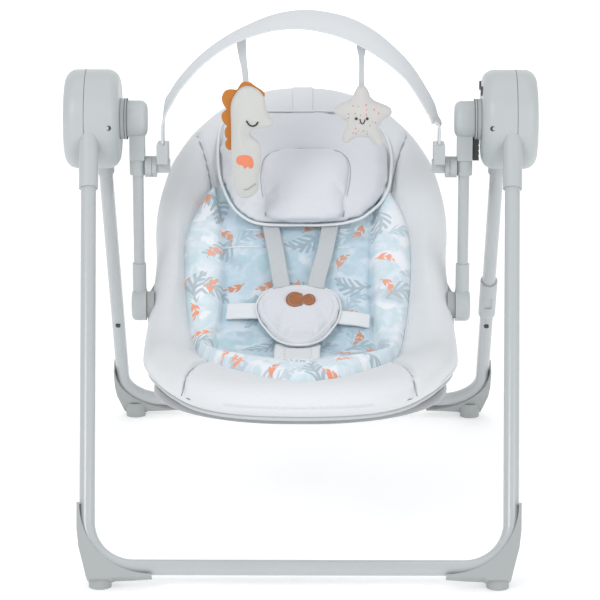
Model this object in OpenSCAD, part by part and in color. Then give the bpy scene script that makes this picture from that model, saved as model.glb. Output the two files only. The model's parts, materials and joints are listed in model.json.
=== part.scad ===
// Portable folding baby swing: fixed front legs and hubs, folding rear legs,
// a seat hung on two arms, and a toy bar. X is left to right, the front faces -Y, +Z is up.

/* [Stand] */
// Distance between the leg centrelines at the floor
foot_span = 507; // [460:1:560]
// Height of the swing axis above the floor
hub_h = 500; // [440:1:560]
// Distance from the swing axis to each floor tube, front to back
foot_reach = 357; // [300:1:400]
// Height of the floor tube centrelines
base_h = 24; // [20:0.5:30]
// Outer radius of the front leg tube
front_r = 9.5; // [8:0.1:11]
// Outer radius of the rear leg tube
rear_r = 9; // [8:0.1:11]
// Bend radius of the floor tubes
bend_r = 57; // [45:1:80]
// Outward lean of the front legs in degrees
splay = 1.3; // [0:0.1:3]
// How far the front leg line passes ahead of the swing axis
leg_offset = 38; // [30:1:45]

/* [Hub] */
// Radius of the hub housing
hub_r = 63; // [55:1:75]
// X of the inner face of the hub
hub_in = 229; // [225:1:235]
// X of the seam between the two shells
hub_seam = 272; // [265:1:280]
// X of the outer face of the hub
hub_out = 299; // [290:1:310]
// Rounding of the hub rims
hub_round = 16; // [8:1:20]
// Shell thickness
wall = 3; // [2:0.5:4]

/* [Swing arms] */
// X of the arm tube centreline
arm_x = 208; // [204:0.5:212]
// Outer radius of the arm tube
arm_r = 7; // [6:0.1:8]
// Height of the recline pivot
pivot_h = 256; // [230:1:280]
// Radius of the recline pivot housing
pivot_r = 20.5; // [16:0.5:24]

/* [Seat] */
// Y of the crease between seat and back
crease_y = -55; // [-80:1:0]
// Height of the crease
crease_h = 207; // [180:1:230]
// Angle of the back from level, in degrees
back_tilt = 44.4; // [35:0.1:60]
// Rise of the seat base toward the front, in degrees
base_tilt = 2.8; // [0:0.1:10]
// Length of the back
back_len = 413; // [380:1:440]
// Length of the base
base_len = 255; // [220:1:280]
// Half width of the back
back_half = 186; // [170:1:188]
// Half width of the base
base_half = 198; // [180:1:200]
// Thickness of the padding under the insert
pad_t = 26; // [15:1:35]
// Height of the padded rim above the insert bed
rim_t = 16; // [8:1:24]

/* [Toy bar] */
// Half span of the band
band_half = 176; // [160:1:185]
// Rise of the band above its sockets
band_rise = 165; // [140:1:190]
// Width of the band, front to back
band_w = 44; // [20:1:50]
// Backward lean of the band in degrees
band_lean = 4; // [0:1:30]
// Height of the bracket pivot
bracket_h = 438; // [420:1:450]

/* [Hidden] */
$fn = 64;
GREY = [0.78, 0.8, 0.8];
TUBE = [0.84, 0.85, 0.86];
SHOE = [0.7, 0.72, 0.71];
CLOTH = [0.88, 0.89, 0.91];
half_span = foot_span / 2;
drop = hub_h - base_h;
// angle of each leg from upright, and its length from the floor tube to the hub
hub_dist = norm([foot_reach, drop]);
front_a = atan(foot_reach / drop) - asin(leg_offset / hub_dist);
front_len = sqrt(hub_dist * hub_dist - leg_offset * leg_offset);
rear_pivot_y = 20;
rear_pivot_h = 470;
rear_a = atan((foot_reach - rear_pivot_y) / (rear_pivot_h - base_h));
rear_len = norm([foot_reach - rear_pivot_y, rear_pivot_h - base_h]);
shoe_reach = 77.5;
front_seam = 141;
rear_seam = 166;
plug_len = 40;
tube_wall = 1.2;
socket_r = 12;
bolt_gap = 0.05;
fold_angle = 58;
axle_r = 8;
collar_r = 26;
neck_r = 23.5;
head_in = 195;
band_t = 3;
band_base = 27;
toy_y = 12.3;
horse_x = -70;
star_x = 80;
horse_top = 611.2;
star_top = 606.8;
toy_lift = 9;
horse_head = 536;
star_tip = 541.2;
insert_half = 142;
insert_t = 8;
seat_tube_r = 7;
under = pad_t + seat_tube_r + 1;

// ---- helpers ----

module rod(from, to, r) {
    d = to - from;
    len = norm(d);
    translate(from)
        rotate([0, acos(d[2] / len), atan2(d[1], d[0])])
            cylinder(h = len, r = r);
}

module xrod(x0, x1, y, z, r) {
    translate([x0, y, z])
        rotate([0, 90, 0])
            cylinder(h = x1 - x0, r = r);
}

module mirror_left() {
    mirror([1, 0, 0])
        children();
}

// flat disc with one rounded edge, drawn as a half section
module round_section(r, h, c) {
    intersection() {
        union() {
            square([r - c, h]);
            square([r, h - c]);
            translate([r - c, h - c])
                circle(c);
        }
        square([r, h]);
    }
}

module ring2d(outer, inner) {
    difference() {
        circle(outer);
        circle(inner);
    }
}

// the plane that holds one pair of legs: local Y runs up the legs
module front_plane() {
    translate([0, -foot_reach, base_h])
        rotate([90 - front_a, 0, 0])
            children();
}

module rear_plane() {
    translate([0, foot_reach, base_h])
        rotate([90 + rear_a, 0, 0])
            children();
}

// one leg line inside its plane, starting at the floor corner
module leg_line(lean) {
    translate([half_span, 0, 0])
        rotate([0, 0, -lean])
            children();
}

module leg_tube(lean, from, to, outer, inner) {
    leg_line(lean)
        translate([0, from, 0])
            rotate([-90, 0, 0])
                linear_extrude(height = to - from)
                    ring2d(outer, inner);
}

module leg_solid(lean, from, to, r) {
    leg_line(lean)
        translate([0, from, 0])
            rotate([-90, 0, 0])
                cylinder(h = to - from, r = r);
}

function tangent_len(lean) = bend_r / tan((90 + lean) / 2);

module bend(lean, profile_r, bore_r) {
    translate([half_span - tangent_len(lean), bend_r, 0])
        rotate([0, 0, -90])
            rotate_extrude(angle = 90 - lean)
                translate([bend_r, 0])
                    ring2d(profile_r, bore_r);
}

module floor_tube(lean, r, seam) {
    inner = r - tube_wall;
    run = half_span - tangent_len(lean);
    translate([-run, 0, 0])
        rotate([0, 90, 0])
            linear_extrude(height = 2 * run)
                ring2d(r, inner);
    for (side = [0, 1]) {
        mirror([side, 0, 0]) {
            bend(lean, r, inner);
            leg_tube(lean, tangent_len(lean), seam, r, inner);
            leg_tube(lean, seam, seam + plug_len, inner - 0.1, inner - 1.2);
        }
    }
}

// moulded corner shoe cupping the outer side of the bend, tapering along both tubes
module shoe(lean, r) {
    lip = r + 2.5;
    shift = shoe_reach * tan(lean);
    linear_extrude(height = 2 * lip, center = true)
        difference() {
            translate([half_span, 0])
                polygon([[lip + shift, shoe_reach], [lip + shift / 2, 44], [lip - 2, 22],
                    [4.5, 2], [0.5, -13], [-2.5, -17], [-28, -17], [-33, -14.5],
                    [-56, -r - 4], [-shoe_reach, -lip], [-shoe_reach, shoe_reach]]);
            translate([half_span - shoe_reach, shoe_reach])
                circle(shoe_reach + r + 1, $fn = 128);
        }
}

module foot_block(y) {
    translate([half_span - 15.5, y, 0])
        cylinder(h = base_h - 4, r1 = 13.5, r2 = 14.5);
}

module tube_void(lean, r) {
    bend(lean, r, 0.5);
    leg_solid(lean, tangent_len(lean), 110, r);
    translate([half_span - 120, 0, 0])
        rotate([0, 90, 0])
            cylinder(h = 120 - tangent_len(lean), r = r);
}

// ---- hubs ----

module outer_cup() {
    translate([hub_seam, 0, hub_h])
        rotate([0, 90, 0])
            rotate_extrude($fn = 96)
                difference() {
                    round_section(hub_r, hub_out - hub_seam, hub_round);
                    translate([0, -1])
                        round_section(hub_r - wall, hub_out - hub_seam - wall + 1, hub_round - wall);
                }
}

module inner_cup() {
    translate([hub_seam, 0, hub_h])
        rotate([0, -90, 0])
            rotate_extrude($fn = 96)
                difference() {
                    round_section(hub_r, hub_seam - hub_in, hub_round);
                    translate([0, -1])
                        round_section(hub_r - wall, hub_seam - hub_in - wall + 1, hub_round - wall);
                }
}

module door_block(gap) {
    translate([hub_out - 8, -20 - gap, hub_h + 20 - gap])
        cube([12, 50 + 2 * gap, 22 + 2 * gap]);
}

module socket_void() {
    front_plane()
        leg_solid(splay, front_len - 109, front_len + 8, socket_r);
}

module hub_outer(door) {
    difference() {
        outer_cup();
        socket_void();
        xrod(hub_seam, hub_out + 1, 0, hub_h, 15);
        if (door)
            door_block(0.3);
    }
}

// the gap that the rear leg sweeps through as it folds
module rear_slot() {
    rest = [sin(rear_a), -cos(rear_a)];
    folded = [sin(rear_a - fold_angle), -cos(rear_a - fold_angle)];
    half = 13;
    reach = 95;
    pivot = [rear_pivot_y, rear_pivot_h];
    rear_edge = pivot + half * [cos(rear_a), sin(rear_a)];
    front_edge = pivot - half * [cos(rear_a - fold_angle), sin(rear_a - fold_angle)];
    translate([half_span - 12.5, 0, 0])
        rotate([90, 0, 90])
            linear_extrude(height = 25)
                polygon([rear_edge, rear_edge + reach * rest, front_edge + reach * folded, front_edge]);
    xrod(half_span - 12.5, half_span + 12.5, rear_pivot_y, rear_pivot_h, 14);
}

module hub_inner(buttons) {
    difference() {
        union() {
            inner_cup();
            xrod(hub_in + 1, 250, 0, hub_h, 14);
        }
        xrod(hub_in - 1, 251, 0, hub_h, axle_r + bolt_gap);
        rear_slot();
        socket_void();
        if (buttons)
            for (y = [-20, 20])
                xrod(hub_in - 1, hub_in + 8, y, hub_h + 40, 6.1);
    }
    xrod(hub_in + 1, 270, rear_pivot_y, rear_pivot_h, 5);
}

module front_socket() {
    front_plane() {
        difference() {
            leg_solid(splay, front_len - 109, front_len + 8, socket_r);
            leg_solid(splay, front_len - 110, front_len - 1, front_r);
        }
    }
}

module front_leg() {
    front_plane()
        leg_tube(splay, front_seam, front_len - 1, front_r, front_r - tube_wall);
}

module front_foot() {
    difference() {
        union() {
            front_plane()
                shoe(splay, front_r);
            foot_block(-foot_reach);
        }
        front_plane()
            tube_void(splay, front_r);
    }
}

module rear_foot() {
    difference() {
        union() {
            rear_plane()
                shoe(0, rear_r);
            foot_block(foot_reach);
        }
        rear_plane()
            tube_void(0, rear_r);
    }
}

module lock_button() {
    xrod(hub_out - 7, hub_out, 0, hub_h, 14.9);
    xrod(hub_out - 14, hub_out - 6, 0, hub_h, 5);
}

module panel_button(y) {
    xrod(hub_in - 2, hub_in + 5, y, hub_h + 40, 6);
}

// ---- rear legs ----

module knuckle() {
    difference() {
        union() {
            xrod(half_span - 10, half_span + 10, rear_pivot_y, rear_pivot_h, 13);
            rear_plane()
                leg_solid(0, rear_len - 62, rear_len - 6, 11.5);
        }
        xrod(half_span - 20, half_span + 20, rear_pivot_y, rear_pivot_h, 5 + bolt_gap);
        rear_plane()
            leg_solid(0, rear_len - 63, rear_len - 18, rear_r);
    }
}

module snap_place(s, side) {
    rear_plane()
        translate([side * half_span, s, 0])
            children();
}

module snap_hole(side) {
    snap_place(rear_seam + 16, side)
        cylinder(h = 20, r = 3.4);
}

module rear_leg() {
    difference() {
        rear_plane()
            leg_tube(0, rear_seam, rear_len - 18, rear_r, rear_r - tube_wall);
        snap_hole(1);
    }
}

module snap(side) {
    snap_place(rear_seam + 16, side) {
        translate([0, 0, 6.2])
            cylinder(h = 4.6, r = 3.3);
    }
}

// ---- swing arms ----

module axle(lever) {
    xrod(205, 262, 0, hub_h, axle_r);
    if (lever)
        translate([252, -5, hub_h])
            cube([4, 10, 22]);
}

module arm_head(pocket) {
    difference() {
        union() {
            xrod(221, hub_in - 0.4, 0, hub_h, collar_r);
            translate([221.5, 0, hub_h])
                rotate([0, -90, 0])
                    rotate_extrude()
                        round_section(neck_r, 221.5 - head_in, 9);
            translate([arm_x - 9, -12, hub_h - 52])
                cube([19, 24, 50]);
        }
        xrod(205, 240, 0, hub_h, axle_r);
        translate([arm_x, 0, hub_h - 60])
            cylinder(h = 26, r = arm_r);
        if (pocket)
            translate([215.3, -8.2, hub_h - 52.5])
                cube([20, 16.4, 28]);
    }
}

module arm_tube() {
    translate([arm_x, 0, pivot_h + 30])
        linear_extrude(height = hub_h - 34 - pivot_h - 30)
            ring2d(arm_r, arm_r - tube_wall);
}

module pivot_housing() {
    difference() {
        union() {
            translate([199, 0, pivot_h])
                rotate([0, 90, 0])
                    rotate_extrude()
                        round_section(pivot_r, 19, 6);
            translate([arm_x, 0, pivot_h + 4])
                cylinder(h = 51, r = 8.8);
        }
        translate([arm_x, 0, pivot_h + 30])
            cylinder(h = 60, r = arm_r);
        xrod(190, 213, 0, pivot_h, 6 + bolt_gap);
    }
}

// ---- toy bar ----

module bracket() {
    difference() {
        union() {
            translate([arm_x, 0, bracket_h - 10])
                cylinder(h = 19.5, r = 10.5);
            xrod(190, 198.6, 0, bracket_h, 13.5);
        }
        translate([arm_x, 0, bracket_h - 30])
            cylinder(h = 60, r = arm_r);
        xrod(180, 197, 0, bracket_h, 4 + bolt_gap);
    }
}

module band_frame() {
    translate([0, 0, bracket_h])
        rotate([-band_lean, 0, 0])
            children();
}

module toy_socket() {
    xrod(184, 189.6, 0, bracket_h, 13.5);
    xrod(189, 196.5, 0, bracket_h, 4);
    difference() {
        band_frame() {
            translate([167, -9, -7])
                cube([18, 18, 16]);
            translate([169, -24, 6])
                cube([14, 48, 24]);
        }
        band_frame()
            translate([band_half - 1.6, -band_w / 2 - 0.1, 12])
                cube([3.2, band_w + 0.2, 30]);
    }
}

function arch(half, rise, n) = [for (i = [0:n]) [half * cos(180 * i / n), rise * sin(180 * i / n)]];
function reversed(list) = [for (i = [len(list) - 1:-1:0]) list[i]];

module toy_band() {
    outer = arch(band_half + band_t / 2, band_rise + band_t / 2, 48);
    inner = arch(band_half - band_t / 2, band_rise - band_t / 2, 48);
    band_frame() {
        translate([0, band_w / 2, band_base])
            rotate([90, 0, 0])
                linear_extrude(height = band_w)
                    polygon(concat(outer, reversed(inner)));
        for (side = [-1, 1])
            translate([side * band_half - band_t / 2, -band_w / 2, 13])
                cube([band_t, band_w, band_base - 12.99]);
    }
}

module upright_slab(t) {
    translate([0, toy_y + t / 2, toy_lift])
        rotate([90, 0, 0])
            linear_extrude(height = t)
                children();
}

module horse_shape() {
    translate([-66, 500])
        circle(27);
    translate([-44, 484])
        circle(11);
    polygon([[-66, 473], [-48, 475], [-44, 495], [-66, 500]]);
    translate([-69, 442])
        circle(23);
    polygon([[-92, 500], [-92, 442], [-52, 442], [-60, 475], [-60, 505]]);
    translate([-72, 398])
        circle(20);
    polygon([[-92, 442], [-92, 398], [-52, 398], [-46, 442]]);
}

module mane_shape() {
    scallops = [[-60, 524, 10], [-76, 522, 11], [-92, 508, 12], [-96, 488, 11], [-97, 468, 10],
        [-97, 450, 9]];
    for (s = scallops)
        translate([s[0], s[1]])
            circle(s[2]);
}

function star_points(outer, inner) = [for (i = [0:9]) let (r = i % 2 == 0 ? outer : inner)
    [r * sin(36 * i), r * cos(36 * i)]];

// ---- seat ----

module back_place() {
    translate([0, crease_y, crease_h])
        rotate([back_tilt, 0, 0])
            children();
}

module base_place() {
    translate([0, crease_y, crease_h])
        rotate([0, 0, 180])
            rotate([base_tilt, 0, 0])
                children();
}

// half width of a panel that runs straight and then closes in a half ellipse
function taper(u, half, straight, total) = u <= straight
    ? half
    : half * sqrt(max(0, 1 - pow((u - straight) / (total - straight), 2)));
function edge(half, from, straight, total, n) = concat([[half, from]],
    [for (i = [0:n]) let (u = straight + (total - straight) * sin(90 * i / n))
        [taper(u, half, straight, total), u]]);
function panel(half, from, straight, total) = let (side = edge(half, from, straight, total, 16))
    concat(side, [for (i = [len(side) - 2:-1:0]) [-side[i][0], side[i][1]]]);

module slab(from, to) {
    translate([0, 0, from])
        linear_extrude(height = to - from)
            children();
}

module pad(half, straight, total, insert_from, insert_straight, insert_total) {
    slab(-pad_t, 0)
        polygon(panel(half, 2, straight, total));
    slab(-0.01, rim_t)
        difference() {
            polygon(panel(half, 18, straight, total));
            polygon(panel(insert_half, -1, insert_straight, insert_total));
        }
}

module seat_tube_u(half, straight_from, corner, top) {
    for (side = [0, 1]) {
        mirror([side, 0, 0]) {
            translate([half, straight_from, -under])
                rotate([-90, 0, 0])
                    cylinder(h = top - corner - straight_from, r = seat_tube_r);
            translate([half - corner, top - corner, -under])
                rotate_extrude(angle = 90)
                    translate([corner, 0])
                        circle(seat_tube_r);
        }
    }
    translate([corner - half, top, -under])
        rotate([0, 90, 0])
            cylinder(h = 2 * (half - corner), r = seat_tube_r);
}

module strap(from, to, width, thick) {
    d = to - from;
    translate([from[0], from[1], insert_t + 0.3])
        rotate([0, 0, atan2(d[1], d[0])])
            translate([0, -width / 2, 0])
                cube([norm(d), width, thick]);
}

// ---- nodes ----

module hub_outer_r() { color(GREY) hub_outer(true); }
module hub_outer_l() { color(GREY) mirror_left() hub_outer(false); }
module hub_inner_r() { color(GREY) hub_inner(true); }
module hub_inner_l() { color(GREY) mirror_left() hub_inner(false); }
module front_socket_r() { color(GREY) front_socket(); }
module front_socket_l() { color(GREY) mirror_left() front_socket(); }
module front_leg_r() { color(TUBE) front_leg(); }
module front_leg_l() { color(TUBE) mirror_left() front_leg(); }
module front_base() {
    color(TUBE)
        front_plane()
            floor_tube(splay, front_r, front_seam);
}
module front_foot_r() { color(SHOE) front_foot(); }
module front_foot_l() { color(SHOE) mirror_left() front_foot(); }

module control_board() {
    color([0.1, 0.4, 0.25])
        translate([236, 44, hub_h - 18])
            cube([50, 1.6, 30]);
}

module drive_coil() {
    color([0.72, 0.45, 0.2])
        difference() {
            xrod(264, 278, 0, hub_h + 13, 9);
            xrod(263, 279, 0, hub_h + 13, 3);
        }
}

module battery_cells() {
    color([0.2, 0.2, 0.22]) {
        xrod(241, 284, 10, hub_h + 42, 12.5);
        xrod(241, 284, 37, hub_h + 26, 12.5);
    }
}

module battery_door() {
    color(GREY)
        intersection() {
            outer_cup();
            door_block(0);
        }
}

module lock_button_r() { color(SHOE) lock_button(); }
module lock_button_l() { color(SHOE) mirror_left() lock_button(); }
module power_button() { color([0.25, 0.26, 0.28]) panel_button(-20); }
module speed_button() { color([0.25, 0.26, 0.28]) panel_button(20); }
module rear_knuckle_r() { color(GREY) knuckle(); }
module rear_knuckle_l() { color(GREY) mirror_left() knuckle(); }
module rear_leg_r() { color(TUBE) rear_leg(); }
module rear_leg_l() { color(TUBE) mirror_left() rear_leg(); }
module rear_base() {
    color(TUBE)
        difference() {
            rear_plane()
                floor_tube(0, rear_r, rear_seam);
            snap_hole(1);
            snap_hole(-1);
        }
}
module rear_foot_r() { color(SHOE) rear_foot(); }
module rear_foot_l() { color(SHOE) mirror_left() rear_foot(); }

module leg_sleeve() {
    color(GREY)
        rear_plane()
            difference() {
                leg_solid(0, 200, 270, 11.6);
                leg_solid(0, 190, 280, rear_r);
                translate([half_span - 5, 222, 9.6])
                    cube([10, 22, 6]);
            }
}

module snap_r() { color([0.3, 0.31, 0.33]) snap(1); }
module snap_l() { color([0.3, 0.31, 0.33]) snap(-1); }
module axle_r() { color([0.6, 0.61, 0.63]) axle(true); }
module axle_l() { color([0.6, 0.61, 0.63]) mirror_left() axle(false); }
module arm_head_r() { color(GREY) arm_head(true); }
module arm_head_l() { color(GREY) mirror_left() arm_head(false); }
module arm_tube_r() { color(TUBE) arm_tube(); }
module arm_tube_l() { color(TUBE) mirror_left() arm_tube(); }
module pivot_housing_r() { color(GREY) pivot_housing(); }
module pivot_housing_l() { color(GREY) mirror_left() pivot_housing(); }

module arm_trigger() {
    color([0.12, 0.12, 0.13])
        difference() {
            translate([218.6, -8, hub_h - 52])
                cube([7.9, 16, 27]);
            for (i = [0:2])
                translate([225, -9, hub_h - 48 + 7 * i])
                    cube([4, 18, 2.6]);
        }
}

module toy_bracket_r() { color(GREY) bracket(); }
module toy_bracket_l() { color(GREY) mirror_left() bracket(); }
module toy_socket_r() { color(GREY) toy_socket(); }
module toy_socket_l() { color(GREY) mirror_left() toy_socket(); }

module seahorse() {
    color([0.92, 0.91, 0.87])
        upright_slab(34)
            horse_shape();
}

module seahorse_mane() {
    color([0.82, 0.5, 0.18])
        upright_slab(8)
            difference() {
                mane_shape();
                horse_shape();
                translate([horse_x - 4.3, 515])
                    square([8.6, 40]);
            }
}

module seahorse_strap() {
    color([0.75, 0.76, 0.77])
        translate([horse_x - 4, toy_y - 1, horse_head])
            cube([8, 2, horse_top - horse_head]);
}

module star() {
    color([0.93, 0.92, 0.9])
        translate([star_x, 0, 487])
            upright_slab(26)
                polygon(star_points(45, 25));
}

module star_strap() {
    color([0.75, 0.76, 0.77])
        translate([star_x - 3.5, toy_y - 1, star_tip])
            cube([7, 2, star_top - star_tip]);
}

// centreline of the back tube at distance u up the back, as [y, z]
function back_tube(u) = [crease_y + u * cos(back_tilt) + under * sin(back_tilt),
    crease_h + u * sin(back_tilt) - under * cos(back_tilt)];

module strut(side, from, knee, to, leg_x) {
    side_x = 193.5;
    strut_r = 4.5;
    rod([side * side_x, from[0], from[1]], [side * side_x, knee[0], knee[1]], strut_r);
    rod([side * side_x, knee[0], knee[1]], [side * leg_x, to[0], to[1]], strut_r);
    translate([side * side_x, knee[0], knee[1]])
        sphere(strut_r + 0.8);
}

module seat_frame() {
    leg_x = 178;
    weld = back_tube(144);
    color([0.55, 0.56, 0.58]) {
        back_place()
            seat_tube_u(leg_x, 60, 125, 378);
        base_place()
            seat_tube_u(leg_x, crease_y - 3, 165, 212);
        for (side = [-1, 1]) {
            strut(side, [19, pivot_h], weld - [30, 24], weld, leg_x);
            strut(side, [6, pivot_h - 19], [8, pivot_h - 66], [2, crease_h - under - 3], leg_x);
        }
    }
}

module hinge_plate() {
    xrod(189, 198.6, 0, pivot_h, 17);
    xrod(198, 211, 0, pivot_h, 6);
}
module hinge_plate_r() { color(SHOE) hinge_plate(); }
module hinge_plate_l() { color(SHOE) mirror_left() hinge_plate(); }

module back_pad() {
    color(CLOTH)
        back_place()
            pad(back_half, 250, back_len, 0, 220, 320);
}

module base_pad() {
    color(CLOTH)
        base_place()
            pad(base_half, 90, base_len, 0, 20, 182);
}

module back_insert() {
    color([0.75, 0.84, 0.88])
        back_place()
            slab(0.3, insert_t)
                polygon(panel(insert_half - 0.4, 12, 220, 319.6));
}

module base_insert() {
    color([0.75, 0.84, 0.88])
        base_place()
            slab(0.3, insert_t)
                polygon(panel(insert_half - 0.4, 12, 20, 181.6));
}

module head_pillow() {
    color([0.9, 0.91, 0.93])
        back_place()
            slab(rim_t + 0.3, rim_t + 28)
                translate([0, 382])
                    mirror([0, 1])
                        polygon(panel(116, 20, 100, 204));
}

module harness_straps() {
    color([0.72, 0.74, 0.76])
        back_place()
            for (s = [-1, 1]) {
                strap([s * 26, 100], [s * 40, 214], 21, 2.5);
                strap([s * 58, 50], [s * 95, 54], 21, 2.5);
            }
}

module crotch_pad() {
    color([0.88, 0.89, 0.91])
        back_place()
            slab(insert_t + 4, insert_t + 22) {
                translate([-16, 60])
                    circle(34);
                translate([16, 60])
                    circle(34);
                translate([0, 42])
                    circle(30);
            }
}

module crotch_strap() {
    color([0.72, 0.74, 0.76])
        base_place()
            slab(insert_t + 0.3, insert_t + 3)
                translate([-30, 14])
                    square([60, 100]);
}

module crotch_patch() {
    color([0.62, 0.35, 0.18])
        back_place()
            slab(insert_t + 22.2, insert_t + 24.4) {
                translate([-8, 64])
                    circle(11.5);
                translate([9, 64])
                    circle(8.8);
            }
}

hub_outer_l();
hub_outer_r();
hub_inner_l();
hub_inner_r();
front_socket_l();
front_socket_r();
front_leg_l();
front_leg_r();
front_base();
front_foot_l();
front_foot_r();
control_board();
drive_coil();
battery_cells();
battery_door();
lock_button_l();
lock_button_r();
power_button();
speed_button();
rear_knuckle_l();
rear_knuckle_r();
rear_leg_l();
rear_leg_r();
rear_base();
rear_foot_l();
rear_foot_r();
leg_sleeve();
snap_l();
snap_r();
axle_l();
axle_r();
arm_head_l();
arm_head_r();
arm_tube_l();
arm_tube_r();
pivot_housing_l();
pivot_housing_r();
arm_trigger();
toy_bracket_l();
toy_bracket_r();
toy_socket_l();
toy_socket_r();
toy_band();
seahorse();
seahorse_mane();
seahorse_strap();
star();
star_strap();
seat_frame();
hinge_plate_l();
hinge_plate_r();
back_pad();
base_pad();
back_insert();
base_insert();
head_pillow();
harness_straps();
crotch_pad();
crotch_strap();
crotch_patch();
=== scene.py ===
import bpy
import bmesh
import json
import math
import numpy as np
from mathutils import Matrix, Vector

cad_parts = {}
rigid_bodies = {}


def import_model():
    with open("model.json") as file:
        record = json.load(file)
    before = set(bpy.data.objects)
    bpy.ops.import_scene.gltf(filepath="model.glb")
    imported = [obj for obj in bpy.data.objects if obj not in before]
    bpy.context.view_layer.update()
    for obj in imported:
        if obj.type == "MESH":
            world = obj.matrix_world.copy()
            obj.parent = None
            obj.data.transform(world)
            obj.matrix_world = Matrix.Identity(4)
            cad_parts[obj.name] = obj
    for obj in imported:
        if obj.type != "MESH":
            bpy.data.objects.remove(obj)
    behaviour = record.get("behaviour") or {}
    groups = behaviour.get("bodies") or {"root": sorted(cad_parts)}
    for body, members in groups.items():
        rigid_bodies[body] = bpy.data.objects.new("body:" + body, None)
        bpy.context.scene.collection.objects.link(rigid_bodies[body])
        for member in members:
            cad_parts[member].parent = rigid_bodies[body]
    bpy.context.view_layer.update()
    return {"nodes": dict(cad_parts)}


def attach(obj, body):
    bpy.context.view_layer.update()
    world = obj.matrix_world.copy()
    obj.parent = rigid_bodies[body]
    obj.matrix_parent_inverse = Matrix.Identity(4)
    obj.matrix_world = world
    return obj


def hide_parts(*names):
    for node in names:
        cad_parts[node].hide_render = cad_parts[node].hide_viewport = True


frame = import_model()
nodes = frame["nodes"]
MM = 0.001
scene = bpy.context.scene

# ------------------------------------------------------------------ materials


class Mat:
    """A node material with short helpers for its nodes."""

    def __init__(self, name):
        self.mat = bpy.data.materials.new(name)
        self.mat.use_nodes = True
        self.tree = self.mat.node_tree
        self.tree.nodes.clear()
        self.out = self.node("ShaderNodeOutputMaterial")
        self.bsdf = self.node("ShaderNodeBsdfPrincipled")
        self.link(self.bsdf.outputs[0], self.out.inputs[0])
        self.coord = self.node("ShaderNodeTexCoord")

    def node(self, kind, **values):
        n = self.tree.nodes.new(kind)
        for key, value in values.items():
            setattr(n, key, value)
        return n

    def link(self, a, b):
        self.tree.links.new(a, b)

    def value(self, sock, v):
        if hasattr(v, "is_linked") or hasattr(v, "links"):
            self.link(v, sock)
        else:
            sock.default_value = v

    def math(self, op, a, b=0.0):
        n = self.node("ShaderNodeMath", operation=op)
        self.value(n.inputs[0], a)
        self.value(n.inputs[1], b)
        return n.outputs[0]

    def mul(self, a, b):
        return self.math("MULTIPLY", a, b)

    def over(self, a, b):
        return self.math("GREATER_THAN", a, b)

    def mapped(self, scale, use_uv=False, offset=(0, 0, 0)):
        m = self.node("ShaderNodeMapping")
        m.inputs["Scale"].default_value = scale if isinstance(scale, (tuple, list)) else (scale,) * 3
        m.inputs["Location"].default_value = offset
        self.link(self.coord.outputs["UV" if use_uv else "Object"], m.inputs[0])
        return m.outputs[0]

    def noise(self, vector, scale=1.0, detail=3.0, rough=0.5, out="Fac"):
        n = self.node("ShaderNodeTexNoise")
        n.inputs["Scale"].default_value = scale
        n.inputs["Detail"].default_value = detail
        n.inputs["Roughness"].default_value = rough
        self.link(vector, n.inputs["Vector"])
        return n.outputs[out]

    def wave(self, vector, scale, direction):
        n = self.node("ShaderNodeTexWave", bands_direction=direction, wave_profile="SIN")
        n.inputs["Scale"].default_value = scale
        self.link(vector, n.inputs["Vector"])
        return n.outputs["Fac"]

    def ramp(self, fac, stops):
        n = self.node("ShaderNodeValToRGB")
        e = n.color_ramp.elements
        while len(e) < len(stops):
            e.new(0.5)
        for item, (pos, col) in zip(e, stops):
            item.position = pos
            item.color = (*col, 1)
        self.link(fac, n.inputs[0])
        return n.outputs[0]

    def mix(self, fac, a, b):
        n = self.node("ShaderNodeMix", data_type="RGBA")
        self.value(n.inputs[0], fac)
        for sock, v in ((n.inputs[6], a), (n.inputs[7], b)):
            if isinstance(v, tuple):
                sock.default_value = (*v, 1)
            else:
                self.link(v, sock)
        return n.outputs[2]

    def bump(self, height, strength, distance, below=None):
        n = self.node("ShaderNodeBump")
        n.inputs["Strength"].default_value = strength
        n.inputs["Distance"].default_value = distance
        self.link(height, n.inputs["Height"])
        if below is not None:
            self.link(below, n.inputs["Normal"])
        return n.outputs[0]

    def surface(self, color, rough, normal=None, **sockets):
        if isinstance(color, tuple):
            self.bsdf.inputs["Base Color"].default_value = (*color, 1)
        else:
            self.link(color, self.bsdf.inputs["Base Color"])
        self.value(self.bsdf.inputs["Roughness"], rough)
        if normal is not None:
            self.link(normal, self.bsdf.inputs["Normal"])
        for key, v in sockets.items():
            self.bsdf.inputs[key.replace("_", " ")].default_value = v
        return self.mat


def shade(c, k):
    return tuple(max(0.0, min(1.0, v * k)) for v in c)


def plastic(name, color, rough=0.42, grain=0.05):
    """Moulded plastic: a fine spark-eroded grain, uneven gloss and a faint cloud of tone."""
    m = Mat(name)
    v = m.mapped(1.0)
    cloud = m.noise(v, 14, 4)
    fine = m.noise(v, 2600, 2)
    tone = m.mix(cloud, shade(color, 0.96), shade(color, 1.03))
    r = m.ramp(m.noise(v, 60, 3), [(0.25, (rough - 0.06,) * 3), (0.8, (rough + 0.07,) * 3)])
    return m.surface(tone, r, m.bump(fine, grain, 0.0004), Coat_Weight=0.06)


def paint(name, color, rough=0.3):
    """Powder-coated tube: fine orange peel with a soft gloss."""
    m = Mat(name)
    v = m.mapped(1.0)
    peel = m.noise(v, 420, 2)
    cloud = m.noise(v, 9, 3)
    tone = m.mix(cloud, shade(color, 0.97), shade(color, 1.02))
    r = m.ramp(peel, [(0.3, (rough - 0.05,) * 3), (0.7, (rough + 0.06,) * 3)])
    return m.surface(tone, r, m.bump(peel, 0.06, 0.0006), Coat_Weight=0.25)


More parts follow.
